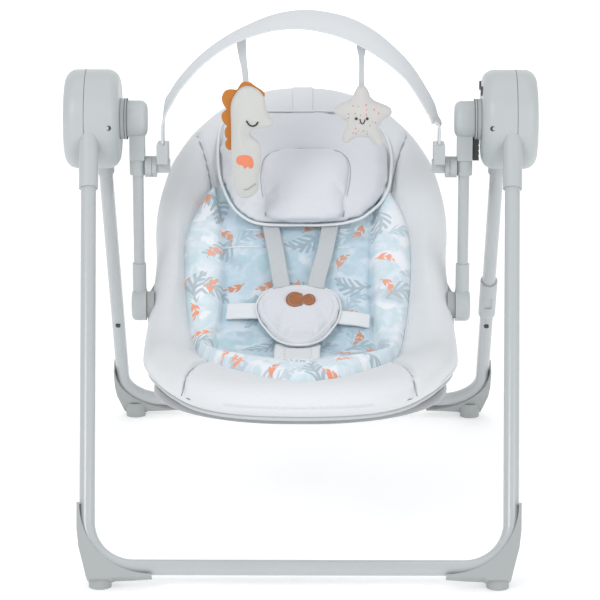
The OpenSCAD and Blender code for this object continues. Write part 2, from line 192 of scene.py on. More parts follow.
def metal(name, color, rough=0.35):
    m = Mat(name)
    v = m.mapped((4, 900, 900))
    lines = m.noise(v, 1.0, 3)
    r = m.ramp(lines, [(0.2, (rough - 0.1,) * 3), (0.8, (rough + 0.12,) * 3)])
    tone = m.mix(lines, shade(color, 0.9), shade(color, 1.05))
    return m.surface(tone, r, m.bump(lines, 0.08, 0.0003), Metallic=1.0)


def weave_height(m, pitch, use_uv=True):
    """Height of a plain weave: warp and weft threads that pass over and under."""
    # a wave texture repeats about 3.2 times a unit, so threads lie about 0.63 of a pitch apart
    k = 0.5 / pitch
    v = m.mapped(1.0, use_uv)
    a = m.wave(v, k, "X")
    b = m.wave(v, k, "Y")
    soft = m.noise(v, 0.35 / pitch, 2)
    both = m.math("MAXIMUM", a, b)
    return m.mul(both, m.math("ADD", soft, 0.45))


def cloth(name, color, pitch=0.0011, strength=0.35, sheen=0.25, use_uv=True, dark=0.93):
    m = Mat(name)
    h = weave_height(m, pitch, use_uv)
    cloud = m.noise(m.mapped(1.0), 7, 4, 0.55)
    threads = m.mix(h, shade(color, dark), shade(color, 1.02))
    tone = m.mix(m.mul(cloud, 0.5), threads, shade(color, 0.965))
    creases = m.noise(m.mapped(1.0), 28, 4, 0.6)
    low = m.bump(creases, 0.25, 0.004)
    return m.surface(tone, 0.88, m.bump(h, strength, 0.0005, low), Sheen_Weight=sheen,
                     Sheen_Roughness=0.45)


def fur(name, color, scale=900, strength=0.5, speckle=None):
    """Short plush or felt: matted fibres, with optional printed speckles."""
    m = Mat(name)
    v = m.mapped(1.0)
    fibre = m.noise(v, scale, 5, 0.7)
    matt = m.noise(v, 45, 4)
    tone = m.mix(fibre, shade(color, 0.86), shade(color, 1.05))
    tone = m.mix(m.mul(matt, 0.4), tone, shade(color, 0.92))
    if speckle:
        cells = m.node("ShaderNodeTexVoronoi")
        cells.inputs["Scale"].default_value = 210
        m.link(v, cells.inputs["Vector"])
        dot = m.math("LESS_THAN", cells.outputs["Distance"], 0.24)
        pick = m.node("ShaderNodeSeparateColor")
        m.link(cells.outputs["Color"], pick.inputs[0])
        near = speckle(m, v)
        keep = m.mul(dot, m.over(pick.outputs[0], 0.35))
        keep = m.mul(keep, near)
        ink = m.mix(m.over(pick.outputs[1], 0.55), (0.75, 0.2, 0.17), (0.35, 0.3, 0.3))
        tone = m.mix(keep, tone, ink)
    return m.surface(tone, 0.95, m.bump(fibre, strength, 0.0009), Sheen_Weight=0.4, Sheen_Roughness=0.6)


def leather(name, color):
    m = Mat(name)
    v = m.mapped(1.0)
    cells = m.node("ShaderNodeTexVoronoi", feature="DISTANCE_TO_EDGE")
    cells.inputs["Scale"].default_value = 900
    m.link(v, cells.inputs["Vector"])
    grain = m.math("MINIMUM", m.mul(cells.outputs["Distance"], 4.0), 1.0)
    cloud = m.noise(v, 120, 4)
    tone = m.mix(cloud, shade(color, 0.75), shade(color, 1.2))
    return m.surface(tone, 0.5, m.bump(grain, 0.3, 0.0004), Coat_Weight=0.1)


GREY = (0.465, 0.495, 0.495)
shell_mat = plastic("shell_grey", GREY, 0.4)
shoe_mat = plastic("shoe_grey", (0.37, 0.392, 0.388), 0.5, 0.12)
dark_mat = plastic("button_dark", (0.035, 0.036, 0.04), 0.5, 0.1)
seam_mat = plastic("seam_shadow", (0.16, 0.17, 0.175), 0.7)
tube_mat = paint("tube_grey", (0.46, 0.485, 0.49), 0.2)
board_mat = plastic("board_green", (0.03, 0.2, 0.09), 0.35)
copper_mat = metal("coil_copper", (0.75, 0.36, 0.17))
cell_mat = plastic("cell_jacket", (0.05, 0.05, 0.06), 0.3)
steel_mat = metal("steel", (0.62, 0.63, 0.65))
frame_mat = paint("seat_tube", (0.3, 0.31, 0.32), 0.4)
shell_cloth = cloth("cloth_grey", (0.72, 0.745, 0.765), 0.0012, 0.3)
pillow_cloth = cloth("pillow_cloth", (0.69, 0.71, 0.745), 0.0011, 0.28, use_uv=False)
piping_cloth = cloth("piping_cloth", (0.76, 0.79, 0.81), 0.0010, 0.3, use_uv=False)
webbing_mat = cloth("webbing", (0.56, 0.59, 0.605), 0.0016, 0.5, 0.15)
band_mat = cloth("band_grey", (0.66, 0.685, 0.705), 0.0008, 0.15, 0.15)
ivory_mat = fur("plush_ivory", (0.62, 0.625, 0.60))
felt_mat = fur("felt_orange", (0.55, 0.19, 0.02), 1400, 0.35)
coral_mat = fur("felt_coral", (0.84, 0.26, 0.13), 1400, 0.35)
leather_mat = leather("leather_tan", (0.36, 0.125, 0.04))
thread_dark = cloth("thread_dark", (0.02, 0.02, 0.022), 0.0006, 0.4, use_uv=False)
thread_grey = cloth("thread_grey", (0.40, 0.42, 0.44), 0.0006, 0.4, use_uv=False)


def near_point(center, radius):
    def test(m, v):
        d = m.node("ShaderNodeVectorMath", operation="DISTANCE")
        m.link(v, d.inputs[0])
        d.inputs[1].default_value = center
        return m.math("LESS_THAN", d.outputs["Value"], radius)
    return test


def print_cloth(name):
    """Printed cotton: a watercolour ground of pale blues, grey-blue palm sprays and small coral sprigs."""
    m = Mat(name)
    h = weave_height(m, 0.0010, True)
    uv = m.mapped(1.0, True)
    warp = m.noise(uv, 22, 3, 0.55, "Color")
    moved = m.node("ShaderNodeVectorMath", operation="MULTIPLY_ADD")
    m.link(warp, moved.inputs[0])
    moved.inputs[1].default_value = (0.03, 0.03, 0)
    m.link(uv, moved.inputs[2])
    wash = m.noise(moved.outputs[0], 17, 3, 0.5)
    ground = m.ramp(wash, [(0.34, (0.86, 0.90, 0.94)), (0.43, (0.72, 0.81, 0.87)), (0.50, (0.66, 0.78, 0.84)),
                           (0.56, (0.78, 0.86, 0.92)), (0.66, (0.58, 0.67, 0.73))])
    drift = m.noise(moved.outputs[0], 38, 2, 0.5)
    ground = m.mix(m.ramp(drift, [(0.54, (0, 0, 0)), (0.62, (1, 1, 1))]), ground, (0.88, 0.91, 0.94))
    aqua = m.noise(m.mapped(1.0, True, (3.1, 0.4, 0)), 31, 2, 0.5)
    ground = m.mix(m.ramp(aqua, [(0.59, (0, 0, 0)), (0.64, (0.8, 0.8, 0.8))]), ground, (0.60, 0.77, 0.80))

    def sprays(scale, offset, length, width, lobes, rag):
        """Mask of leaf sprays, one to a cell, each turned its own way."""
        p = m.mapped(scale, True, offset)
        cell = m.node("ShaderNodeTexVoronoi", voronoi_dimensions="2D")
        cell.inputs["Scale"].default_value = 1.0
        cell.inputs["Randomness"].default_value = 0.75
        m.link(p, cell.inputs["Vector"])
        rel = m.node("ShaderNodeVectorMath", operation="SUBTRACT")
        m.link(p, rel.inputs[0])
        m.link(cell.outputs["Position"], rel.inputs[1])
        pick = m.node("ShaderNodeSeparateColor")
        m.link(cell.outputs["Color"], pick.inputs[0])
        turn = m.node("ShaderNodeVectorRotate", rotation_type="Z_AXIS")
        m.link(rel.outputs[0], turn.inputs["Vector"])
        m.link(m.mul(pick.outputs[0], 6.283), turn.inputs["Angle"])
        xyz = m.node("ShaderNodeSeparateXYZ")
        m.link(turn.outputs[0], xyz.inputs[0])
        x, y = xyz.outputs[0], xyz.outputs[1]
        arc = m.math("ADD", y, m.mul(m.mul(x, x), 1.1))
        along = m.math("DIVIDE", x, length)
        body = m.math("SUBTRACT", 1.0, m.mul(along, along))
        edge = m.math("SUBTRACT", m.mul(body, width), m.math("ABSOLUTE", arc))
        comb = m.math("SINE", m.mul(m.math("SUBTRACT", x, m.math("ABSOLUTE", arc)), lobes))
        inside = m.over(edge, 0.0)
        leaf = m.over(comb, rag)
        spine = m.math("LESS_THAN", m.math("ABSOLUTE", arc), width * 0.16)
        shape = m.mul(inside, m.math("MAXIMUM", leaf, spine))
        return shape, pick.outputs[1], pick.outputs[2]

    shape, r1, r2 = sprays(19.0, (0.2, 0.7, 0), 0.5, 0.26, 34.0, -0.1)
    grey = m.mix(r2, (0.36, 0.43, 0.48), (0.48, 0.56, 0.61))
    ground = m.mix(m.mul(m.mul(shape, m.over(r1, 0.30)), 0.75), ground, grey)
    shape, r1, r2 = sprays(21.0, (5.2, 3.1, 0), 0.42, 0.2, 30.0, -0.2)
    ground = m.mix(m.mul(m.mul(shape, m.over(r1, 0.55)), 0.6), ground,
                   (0.50, 0.60, 0.68))
    shape, r1, r2 = sprays(24.0, (9.4, 1.3, 0), 0.34, 0.13, 26.0, -0.45)
    coral = m.mix(r2, (0.90, 0.33, 0.18), (0.93, 0.45, 0.32))
    ground = m.mix(m.mul(shape, m.over(r1, 0.52)), ground, coral)
    place = m.node("ShaderNodeSeparateXYZ")
    m.link(uv, place.inputs[0])
    across = m.math("ABSOLUTE", m.math("ADD", place.outputs[0], 0.005))

    def fade(value, low, high):
        n = m.node("ShaderNodeMapRange", interpolation_type="SMOOTHSTEP")
        m.link(value, n.inputs["Value"])
        n.inputs["From Min"].default_value = low
        n.inputs["From Max"].default_value = high
        return n.outputs[0]

    # the back panel between the side bolsters is tinted toward (0.74, 0.81, 0.85): painted shade of the recessed back
    # panel
    back_panel_shade = m.mul(fade(across, 0.101, 0.093), fade(place.outputs[1], -0.062, -0.045))
    thread = m.mix(h, (0.9, 0.9, 0.9), (1.0, 1.0, 1.0))
    thread = m.mix(back_panel_shade, thread, (0.74, 0.81, 0.85))
    both = m.node("ShaderNodeMix", data_type="RGBA", blend_type="MULTIPLY")
    both.inputs[0].default_value = 1.0
    m.link(ground, both.inputs[6])
    m.link(thread, both.inputs[7])
    creases = m.noise(m.mapped(1.0), 30, 4, 0.6)
    low = m.bump(creases, 0.25, 0.004)
    return m.surface(both.outputs[2], 0.86, m.bump(h, 0.3, 0.0005, low), Sheen_Weight=0.15, Sheen_Roughness=0.5)


print_mat = print_cloth("cloth_print")

# ------------------------------------------------------------------ mesh helpers


def add_object(name, verts, faces, mat, body, stands_for=(), uv=None):
    """A mesh piece in metres, riding on a CAD body."""
    mesh = bpy.data.meshes.new(name)
    mesh.from_pydata([tuple(v) for v in verts], [], [tuple(int(i) for i in f) for f in faces])
    if uv is not None:
        layer = mesh.uv_layers.new(name="UVMap")
        idx = np.zeros(len(mesh.loops), np.int32)
        mesh.loops.foreach_get("vertex_index", idx)
        layer.data.foreach_set("uv", np.asarray(uv, float)[idx][:, :2].ravel())
    obj = bpy.data.objects.new(name, mesh)
    scene.collection.objects.link(obj)
    bm = bmesh.new()
    bm.from_mesh(mesh)
    bmesh.ops.recalc_face_normals(bm, faces=bm.faces)
    bm.to_mesh(mesh)
    bm.free()
    mesh.polygons.foreach_set("use_smooth", [True] * len(mesh.polygons))
    finish_piece(obj, mat, body, stands_for)
    return obj


def finish_piece(obj, mat, body, stands_for=()):
    obj.data.materials.clear()
    obj.data.materials.append(mat)
    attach(obj, body)
    if stands_for:
        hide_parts(*stands_for)


def smooth_curve(points, n, closed=False):
    """Catmull-Rom samples through the points."""
    p = np.asarray(points, float)
    if closed:
        ext = np.vstack([p[-1], p, p[0], p[1]])
        segs = len(p)
    else:
        ext = np.vstack([2 * p[0] - p[1], p, 2 * p[-1] - p[-2]])
        segs = len(p) - 1
    dense = []
    for i in range(segs):
        a, b, c, d = ext[i], ext[i + 1], ext[i + 2], ext[i + 3]
        for t in np.linspace(0, 1, 16, endpoint=False):
            dense.append(0.5 * (2 * b + (c - a) * t + (2 * a - 5 * b + 4 * c - d) * t * t
                                + (3 * b - a - 3 * c + d) * t ** 3))
    dense.append(p[0] if closed else p[-1])
    dense = np.array(dense)
    gap = np.linalg.norm(np.diff(dense, axis=0), axis=1)
    along = np.concatenate([[0], np.cumsum(gap)])
    want = np.linspace(0, along[-1], n + 1 if closed else n)
    out = np.stack([np.interp(want, along, dense[:, k]) for k in range(dense.shape[1])], 1)
    return out[:-1] if closed else out


def sweep(name, path, section, mat, body, sides=None, stands_for=(), closed=False, scale=None):
    """A section swept along a path. section is (side, up) pairs in metres; sides is the side direction."""
    path = np.asarray(path, float)
    n = len(path)
    k = len(section)
    if closed:
        tangent = np.roll(path, -1, 0) - np.roll(path, 1, 0)
    else:
        tangent = np.gradient(path, axis=0)
    tangent /= np.linalg.norm(tangent, axis=1)[:, None]
    if sides is None:
        seed = np.array([0.0, 0, 1]) if abs(tangent[0][2]) < 0.9 else np.array([0.0, 1, 0])
        side = np.cross(seed, tangent[0])
        rows = []
        for t in tangent:
            side = side - t * np.dot(side, t)
            side = side / np.linalg.norm(side)
            rows.append(side.copy())
        side = np.array(rows)
    else:
        side = np.asarray(sides, float)
        if side.ndim == 1:
            side = np.repeat(side[None], n, 0)
        side = side - tangent * np.sum(side * tangent, 1)[:, None]
        side /= np.linalg.norm(side, axis=1)[:, None]
    up = np.cross(tangent, side)
    scale = np.ones((n, 2)) if scale is None else np.asarray(scale, float)
    verts, uv = [], []
    run = np.concatenate([[0], np.cumsum(np.linalg.norm(np.diff(path, axis=0), axis=1))])
    for i in range(n):
        for a, b in section:
            verts.append(path[i] + side[i] * a * scale[i][0] + up[i] * b * scale[i][1])
            uv.append((a + b * 0.5, run[i]))
    faces = []
    rings = n if closed else n - 1
    for i in range(rings):
        for j in range(k):
            a, b = i * k + j, i * k + (j + 1) % k
            c, d = ((i + 1) % n) * k + (j + 1) % k, ((i + 1) % n) * k + j
            faces.append((a, b, c, d))
    if not closed:
        faces.append(tuple(range(k))[::-1])
        faces.append(tuple((n - 1) * k + j for j in range(k)))
    return add_object(name, verts, faces, mat, body, stands_for, uv)


def ring_faces(n, rings, base=0):
    """Quads between neighbouring rings of n points."""
    return [(base + i * n + j, base + i * n + (j + 1) % n, base + (i + 1) * n + (j + 1) % n, base + (i + 1) * n + j)
            for i in range(rings - 1) for j in range(n)]


def outline_normals(loop):
    """Outward unit normals of a closed flat outline."""
    nxt = np.roll(loop, -1, 0) - np.roll(loop, 1, 0)
    nrm = np.stack([nxt[:, 1], -nxt[:, 0]], 1)
    nrm /= np.linalg.norm(nrm, axis=1)[:, None]
    area = 0.5 * np.sum(loop[:, 0] * np.roll(loop[:, 1], -1) - np.roll(loop[:, 0], -1) * loop[:, 1])
    return nrm * (1 if area > 0 else -1)


def circle_section(r, n=10):
    return [(r * math.cos(2 * math.pi * i / n), r * math.sin(2 * math.pi * i / n)) for i in range(n)]


def strap_section(width, thick):
    """Flat webbing with rounded, slightly thicker selvedges."""
    w, t = width / 2, thick / 2
    return [(w * c, t * s * (1.25 if abs(c) > 0.8 else 1.0)) for c, s in
            ((-0.86, -1), (-0.4, -0.92), (0, -0.9), (0.4, -0.92), (0.86, -1), (0.97, -0.7), (1, 0), (0.97, 0.7),
             (0.86, 1), (0.4, 0.92), (0, 0.9), (-0.4, 0.92), (-0.86, 1), (-0.97, 0.7), (-1, 0), (-0.97, -0.7))]


# ------------------------------------------------------------------ seat surface

CREASE = np.array([-55.0, 207.0])
BACK_A = math.radians(44.4)
BASE_A = math.radians(2.8)
FILLET = 75.0
TURN = BACK_A + BASE_A
TAN = FILLET * math.tan(TURN / 2)
ARC = FILLET * TURN / 2


def seat_path(s):
    """(Y, Z) on the seat's line and its normal, at run s from the crease: positive up the back."""
    s = np.asarray(s, float)
    back = np.array([math.cos(BACK_A), math.sin(BACK_A)])
    base = np.array([-math.cos(BASE_A), math.sin(BASE_A)])
    start = CREASE + base * TAN
    up_base = np.array([math.sin(BASE_A), math.cos(BASE_A)])
    centre = start + up_base * FILLET
    ang = np.clip((s + ARC) / FILLET, 0, TURN)
    n0 = -up_base
    c, q = np.cos(ang), np.sin(ang)
    ray = np.stack([n0[0] * c - n0[1] * q, n0[0] * q + n0[1] * c], -1)
    pos = centre + ray * FILLET
    pos = pos + np.maximum(s - ARC, 0)[..., None] * back
    pos = pos + np.maximum(-s - ARC, 0)[..., None] * base
    return pos, -ray


def seat_point(x, s, h):
    """Millimetres on the unrolled seat to metres in the row frame."""
    pos, nrm = seat_path(s)
    yz = pos + nrm * np.asarray(h, float)[..., None]
    return np.stack([np.asarray(x, float), yz[..., 0], yz[..., 1]], -1) * MM


def on_seat(points, h):
    """Row-frame points for (x, run) pairs at one height or one height each."""
    return seat_point(points[:, 0], points[:, 1], np.zeros(len(points)) + h)


def seat_normal(s):
    """The seat's outward direction at run s."""
    nrm = seat_path(np.array([s]))[1][0]
    return np.array([0.0, nrm[0], nrm[1]])


def outline(points, n):
    """A smooth closed outline of n points."""
    return smooth_curve(np.array(points, float), n, closed=True)


def loop_from(profile, n):
    """A closed outline from (run, half width) pairs, front to top."""
    p = np.asarray(profile, float)
    right = [(w, s) for s, w in p]
    left = [(-w, s) for s, w in p[::-1] if w > 0]
    return smooth_curve(np.array(right + left), n, closed=True)


def line_distance(points, starts, ends):
    """Distance of each point from the nearest of some line pieces."""
    best = np.full(len(points), 1e9)
    for p0, p1 in zip(starts, ends):
        d = p1 - p0
        t = np.clip(((points - p0) @ d) / max(d @ d, 1e-9), 0, 1)
        best = np.minimum(best, np.linalg.norm(points - (p0 + t[:, None] * d), axis=1))
    return best


def distance_to(points, loop):
    """Distance of each point from a closed outline."""
    return line_distance(points, loop, np.roll(loop, -1, 0))


def inside(points, loop):
    x, y = points[:, 0], points[:, 1]
    hit = np.zeros(len(points), bool)
    for (x0, y0), (x1, y1) in zip(loop, np.roll(loop, -1, 0)):
        cross = (y0 > y) != (y1 > y)
        hit ^= cross & (x < (x1 - x0) * (y - y0) / (y1 - y0 + 1e-12) + x0)
    return hit


def groove(points, line, width):
    """0 to 1, highest on the line."""
    return np.exp(-(line_distance(points, line[:-1], line[1:]) / width) ** 2)


def step(t):
    t = np.clip(t, 0, 1)
    return t * t * (3 - 2 * t)


def ripple(points, seed, size):
    """Smooth, repeatable unevenness between -1 and 1."""
    rng = np.random.RandomState(seed)
    total = np.zeros(len(points))
    for _ in range(7):
        d = rng.uniform(-1, 1, 2)
        d /= np.linalg.norm(d)
        total += np.sin(points @ d / (size * rng.uniform(0.6, 1.6)) + rng.uniform(0, 6.28))
    return total / 4.0


def quilt(name, loop, centre, top, bottom, rings, mat, stands_for, place=seat_point):
    """A closed pad over a flat outline. top and bottom give heights in mm over the seat's line."""
    n = len(loop)
    centre = np.asarray(centre, float)
    grid = [centre[None]]
    for q in np.linspace(0, 1, rings)[1:]:
        q = 1 - (1 - q) ** 1.5
        grid.append(centre + (loop - centre) * q)
    flat = np.vstack(grid)
    ht = top(flat)
    hb = bottom(flat)
    count = len(flat)
    verts = np.vstack([place(flat[:, 0], flat[:, 1], ht), place(flat[:, 0], flat[:, 1], hb)])
    faces = []
    for base, flip in ((0, False), (count, True)):
        for j in range(n):
            a, b = base + 1 + j, base + 1 + (j + 1) % n
            faces.append((base, a, b) if not flip else (base, b, a))
        for i in range(rings - 2):
            for j in range(n):
                a = base + 1 + i * n + j
                b = base + 1 + i * n + (j + 1) % n
                c, d = b + n, a + n
                faces.append((a, d, c, b) if not flip else (a, b, c, d))
    last = 1 + (rings - 2) * n
    for j in range(n):
        a, b = last + j, last + (j + 1) % n
        faces.append((a, count + a, count + b, b))
    uv = np.vstack([flat, flat]) * MM
    return add_object(name, verts, faces, mat, "seat", stands_for, uv)


OUTLINE = loop_from([
    (-276, 0), (-272, 50), (-262, 88), (-246, 118), (-222, 143), (-190, 163), (-150, 178), (-105, 188.5),
    (-65, 196), (-25, 200), (10, 200), (40, 197), (75, 193), (105, 190), (140, 188.5), (180, 190.5), (215, 189),
    (250, 183), (285, 173.5), (305, 164), (321, 155), (338, 143.5), (354, 130), (370, 114), (386, 93),
    (398, 69), (407, 38), (410, 0)
], 330)
INSERT = outline([
    (0, -182), (34, -168), (62, -143), (88, -108), (110, -77), (122, -40), (131, 10), (138, 60), (142, 110),
    (142, 165), (133, 205), (118, 236), (96, 262), (62, 284), (0, 294), (-64, 284), (-99, 262), (-122, 238),
    (-139, 207), (-151, 164), (-151, 115), (-148, 68), (-139, 10), (-129, -30), (-119, -60), (-92, -101),
    (-62, -134), (-32, -163)
], 300)


def seam_lines(pts):
    return np.array(pts, float)


DARTS = [seam_lines([(side * 139, 322), (side * 133, 304), (side * 127, 284), (side * 121, 258),
                     (side * 119, 240)]) for side in (-1, 1)]
FRONT_SEAMS = [seam_lines([(side * 115, -66), (side * 119, -95), (side * 128, -140), (side * 134, -180),
                           (side * 139, -212), (side * 142, -225)]) for side in (-1, 1)]


def shell_top(p):
    d = distance_to(p, OUTLINE)
    d_in = distance_to(p, INSERT)
    within = inside(p, INSERT)
    span = d + d_in
    crown = 19.0
    roll = np.sqrt(np.clip(1 - (1 - np.clip(d / 27.0, 0, 1)) ** 2, 0, 1))
    h = -7 + (crown + 7) * roll
    inner = step((d - 27) / np.maximum(span - 27, 1))
    h = np.where(d > 27, crown - 12 * inner, h)
    wide = step((p[:, 1] - 250) / 90)
    h = h + wide * 3.0 * np.sin(np.clip(d / 130, 0, 1) * math.pi)
    h = np.where(within, 4.0 - np.minimum(d_in, 8) * 0.35, h)
    for line in DARTS + FRONT_SEAMS:
        g = groove(p, line, 2.6)
        near = groove(p, line, 15.0)
        h = h - 4.2 * g + 1.6 * near * (1 - g)
        pucker = np.sin((p[:, 0] * 0.35 + p[:, 1]) / 3.1) * near * (1 - g)
        h = h + 0.35 * pucker
    lip = np.exp(-((d_in - 1.5) / 4.0) ** 2) * (~within)
    h = h - 2.6 * lip
    gather = np.exp(-(d_in / 22.0) ** 2) * (~within)
    angle = np.arctan2(p[:, 1] - 60, p[:, 0])
    h = h + 0.5 * gather * np.sin(angle * 60 + 2 * ripple(p, 5, 60))
    h = h + 0.9 * ripple(p, 3, 42) * step(d / 30)
    return h


def shell_bottom(p):
    d = distance_to(p, OUTLINE)
    roll = np.sqrt(np.clip(1 - (1 - np.clip(d / 22.0, 0, 1)) ** 2, 0, 1))
    return -7 - 17 * roll - 1.0 * step(d / 80) + 0.6 * ripple(p, 9, 50) * step(d / 30)


def insert_top(p):
    d = distance_to(p, INSERT)
    x = np.abs(p[:, 0] + 5)
    s = p[:, 1]
    half = 95.0 + 8 * np.clip(np.abs(s - 105) / 115, 0, 1.2) ** 2
    lift = 6.5 + 0 * x
    # side bolsters
    rim = np.maximum(x + d - half, 1)
    t = np.clip((x - half) / rim, 0, 1)
    side = np.sin(np.clip(t, 0, 1) * math.pi) ** 0.6
    on_side = step((x - half) / 3) * step((s + 40) / 14)
    lift = lift + on_side * 12.5 * side
    valley = np.exp(-((x - half) / 3.6) ** 2) * step((s + 40) / 20)
    lift = lift - 5.0 * valley
    # front roll
    back_edge = -88.0 + 44 * np.clip(np.abs(p[:, 0]) / 105, 0, 1.3) ** 2
    t = np.clip(d / np.maximum(d + (back_edge - s), 1), 0, 1)
    roll = np.sin(np.clip(t, 0, 1) ** 0.75 * math.pi) ** 0.65
    front = step((back_edge - s) / 4)
    lift = lift + 12.0 * roll * front
    lift = lift - 4.6 * np.exp(-((s - back_edge) / 4.2) ** 2) * (x < 118)
    # stitched cross seams on the back
    for row, depth in ((152, 1.8), (179, 1.4)):
        lift = lift - depth * np.exp(-((s - row) / 2.4) ** 2) * step((half - x) / 4)
    puff = np.abs(np.sin((s - 40) / 76.0 * math.pi)) ** 0.6
    lift = lift + 2.4 * puff * step((half - x) / 25) * (s > 0)
    edge = np.sqrt(np.clip(1 - (1 - np.clip(d / 7.0, 0, 1)) ** 2, 0, 1))
    lift = lift + 1.2 * ripple(p, 21, 24) * step(d / 20)
    crease = np.exp(-((s - 4) / 30.0) ** 2) * step((half - x) / 30)
    lift = lift + 1.2 * crease * np.sin(p[:, 0] / 9.0 + 1.5 * ripple(p, 8, 40))
    return 1.0 + np.maximum(lift, 1.0) * edge


def insert_bottom(p):
    return np.full(len(p), 0.6)


def slim_point(x, s, h):
    """Seat point with the underside drawn in toward the front corners."""
    front = np.clip((-np.asarray(s, float) - 20) / 150, 0, 1)
    low = np.clip((10 - np.asarray(h, float)) / 34, 0, 1)
    return seat_point(x * (1 - 0.10 * front * low), s * (1 - 0.04 * front * low), h)


shell = quilt("seat_shell", OUTLINE, (0, 70), shell_top, shell_bottom, 76, shell_cloth,
              ("back_pad", "base_pad"), place=slim_point)
insert = quilt("seat_insert", INSERT, (0, 50), insert_top, insert_bottom, 70, print_mat,
               ("back_insert", "base_insert"))


def shrink(loop, centre, mm):
    c = np.asarray(centre, float)
    d = loop - c
    r = np.linalg.norm(d, axis=1)[:, None]
    return c + d * (1 - mm / r)


# welt round the insert, and the binding under the front edge of the shell
welt = on_seat(shrink(INSERT, (0, 50), -1.0), 3.4)
sweep("insert_welt", welt, circle_section(1.5 * MM, 8), shell_cloth, "seat", closed=True)
hem = shrink(OUTLINE, (0, 70), 9.0)
hem = hem[hem[:, 1] < 30]
hem = hem[np.argsort(np.arctan2(hem[:, 0], 120 - hem[:, 1]))]
under_edge = slim_point(hem[:, 0], hem[:, 1], np.full(len(hem), -23.0))
sweep("shell_binding", under_edge, circle_section(2.6 * MM, 10), webbing_mat, "seat")
# grey thread lines laid along the front seams and darts; their darker grey is painted shade in the seam creases
for name, seams, count, lift, radius in (("front_seam_shade_", FRONT_SEAMS, 40, 1.5, 0.9),
                                         ("dart_crease_shade_", DARTS, 30, 1.6, 1.0)):
    for side, line in zip("lr", seams):
        pts = smooth_curve(line, count)
        sweep(name + side, on_seat(pts, shell_top(pts) + lift), circle_section(radius * MM, 6), thread_grey, "seat")

# ------------------------------------------------------------------ padded pieces by cloth

# cloth pressure, frames it swells for, and the share of its sideways growth that is kept
PRESSURE = 4.0
SWELL_FRAMES = 20
SIDEWAYS = 0.3


def inflate(obj, axis, voxel, cap):
    """Swells a closed slab under pressure and keeps the result in the mesh."""
    view = bpy.context.view_layer
    parent = obj.parent
    obj.parent = None
    bpy.ops.object.select_all(action="DESELECT")
    obj.select_set(True)
    view.objects.active = obj
    remesh = obj.modifiers.new("remesh", "REMESH")
    remesh.mode = "VOXEL"
    remesh.voxel_size = voxel
    bpy.ops.object.modifier_apply(modifier=remesh.name)
    smooth = obj.modifiers.new("smooth", "SMOOTH")
    smooth.factor = 0.5
    smooth.iterations = 4
    bpy.ops.object.modifier_apply(modifier=smooth.name)
    mesh = obj.data
    n = len(mesh.vertices)
    rest = np.zeros(n * 3)
    mesh.vertices.foreach_get("co", rest)
    rest = rest.reshape(-1, 3)
    sim = obj.modifiers.new("cloth", "CLOTH")
    st = sim.settings
    st.quality = 5
    st.use_pressure = True
    st.uniform_pressure_force = PRESSURE
    st.effector_weights.gravity = 0.0
    st.tension_stiffness = 12
    st.compression_stiffness = 12
    st.bending_stiffness = 0.4
    sim.point_cache.frame_start = 1
    sim.point_cache.frame_end = SWELL_FRAMES
    for f in range(1, SWELL_FRAMES + 1):
        scene.frame_set(f)
    deps = bpy.context.evaluated_depsgraph_get()
    done = obj.evaluated_get(deps).to_mesh()
    moved = np.zeros(n * 3)
    done.vertices.foreach_get("co", moved)
    obj.evaluated_get(deps).to_mesh_clear()
    obj.modifiers.remove(sim)
    shift = moved.reshape(-1, 3) - rest
    axial = (shift @ axis)[:, None] * axis
    shift = axial + (shift - axial) * SIDEWAYS
    size = np.linalg.norm(shift, axis=1)[:, None]
    shift = shift * np.minimum(1, cap / np.maximum(size, 1e-9))
    final = rest + shift
    final = np.nan_to_num(final)
    mesh.vertices.foreach_set("co", final.ravel())
    scene.frame_set(1)
    sub = obj.modifiers.new("sub", "SUBSURF")
    sub.levels = 1
    sub.render_levels = 1
    bpy.ops.object.modifier_apply(modifier=sub.name)
    soft = obj.modifiers.new("soft", "SMOOTH")
    soft.factor = 0.5
    soft.iterations = 3
    bpy.ops.object.modifier_apply(modifier=soft.name)
    mesh.polygons.foreach_set("use_smooth", [True] * len(mesh.polygons))
    mesh.update()
    obj.parent = parent
    return obj


def slab_mesh(loop3d_low, loop3d_high):
    """Two matching loops closed into a slab with fan caps."""
    n = len(loop3d_low)
    verts = [tuple(v) for v in loop3d_low] + [tuple(v) for v in loop3d_high]
    faces = [(i, (i + 1) % n, n + (i + 1) % n, n + i) for i in range(n)]
    faces.append(tuple(range(n))[::-1])
    faces.append(tuple(range(n, 2 * n)))
    return verts, faces


def seat_slab(name, loop, h0, h1, mat, slot, stands_for, **sim):
    verts, faces = slab_mesh(on_seat(loop, h0),
                             on_seat(loop, h1))
    obj = add_object(name, verts, faces, mat, "seat", stands_for)
    inflate(obj, seat_normal(loop[:, 1].mean()), **sim)
    return obj


def height_on(obj, x, s, fallback=20.0):
    """Height in mm of an object's surface over the seat's line at (x, s)."""
    p = seat_point(np.array([x]), np.array([s]), np.array([0.0]))[0]
    up = seat_normal(s)
    hit = obj.ray_cast(Vector(p + up * 0.09), Vector(-up))
    return (Vector(p + up * 0.09) - hit[1]).length * -1000 + 90 if hit[0] else fallback


def seat_frame_at(x, s, h):
    """Point, run direction and normal on the seat, in metres."""
    p = seat_point(np.array([x]), np.array([s]), np.array([h]))[0]
    q = seat_point(np.array([x]), np.array([s + 1.0]), np.array([h]))[0]
    run = (q - p) / np.linalg.norm(q - p)
    return p, run, seat_normal(s)


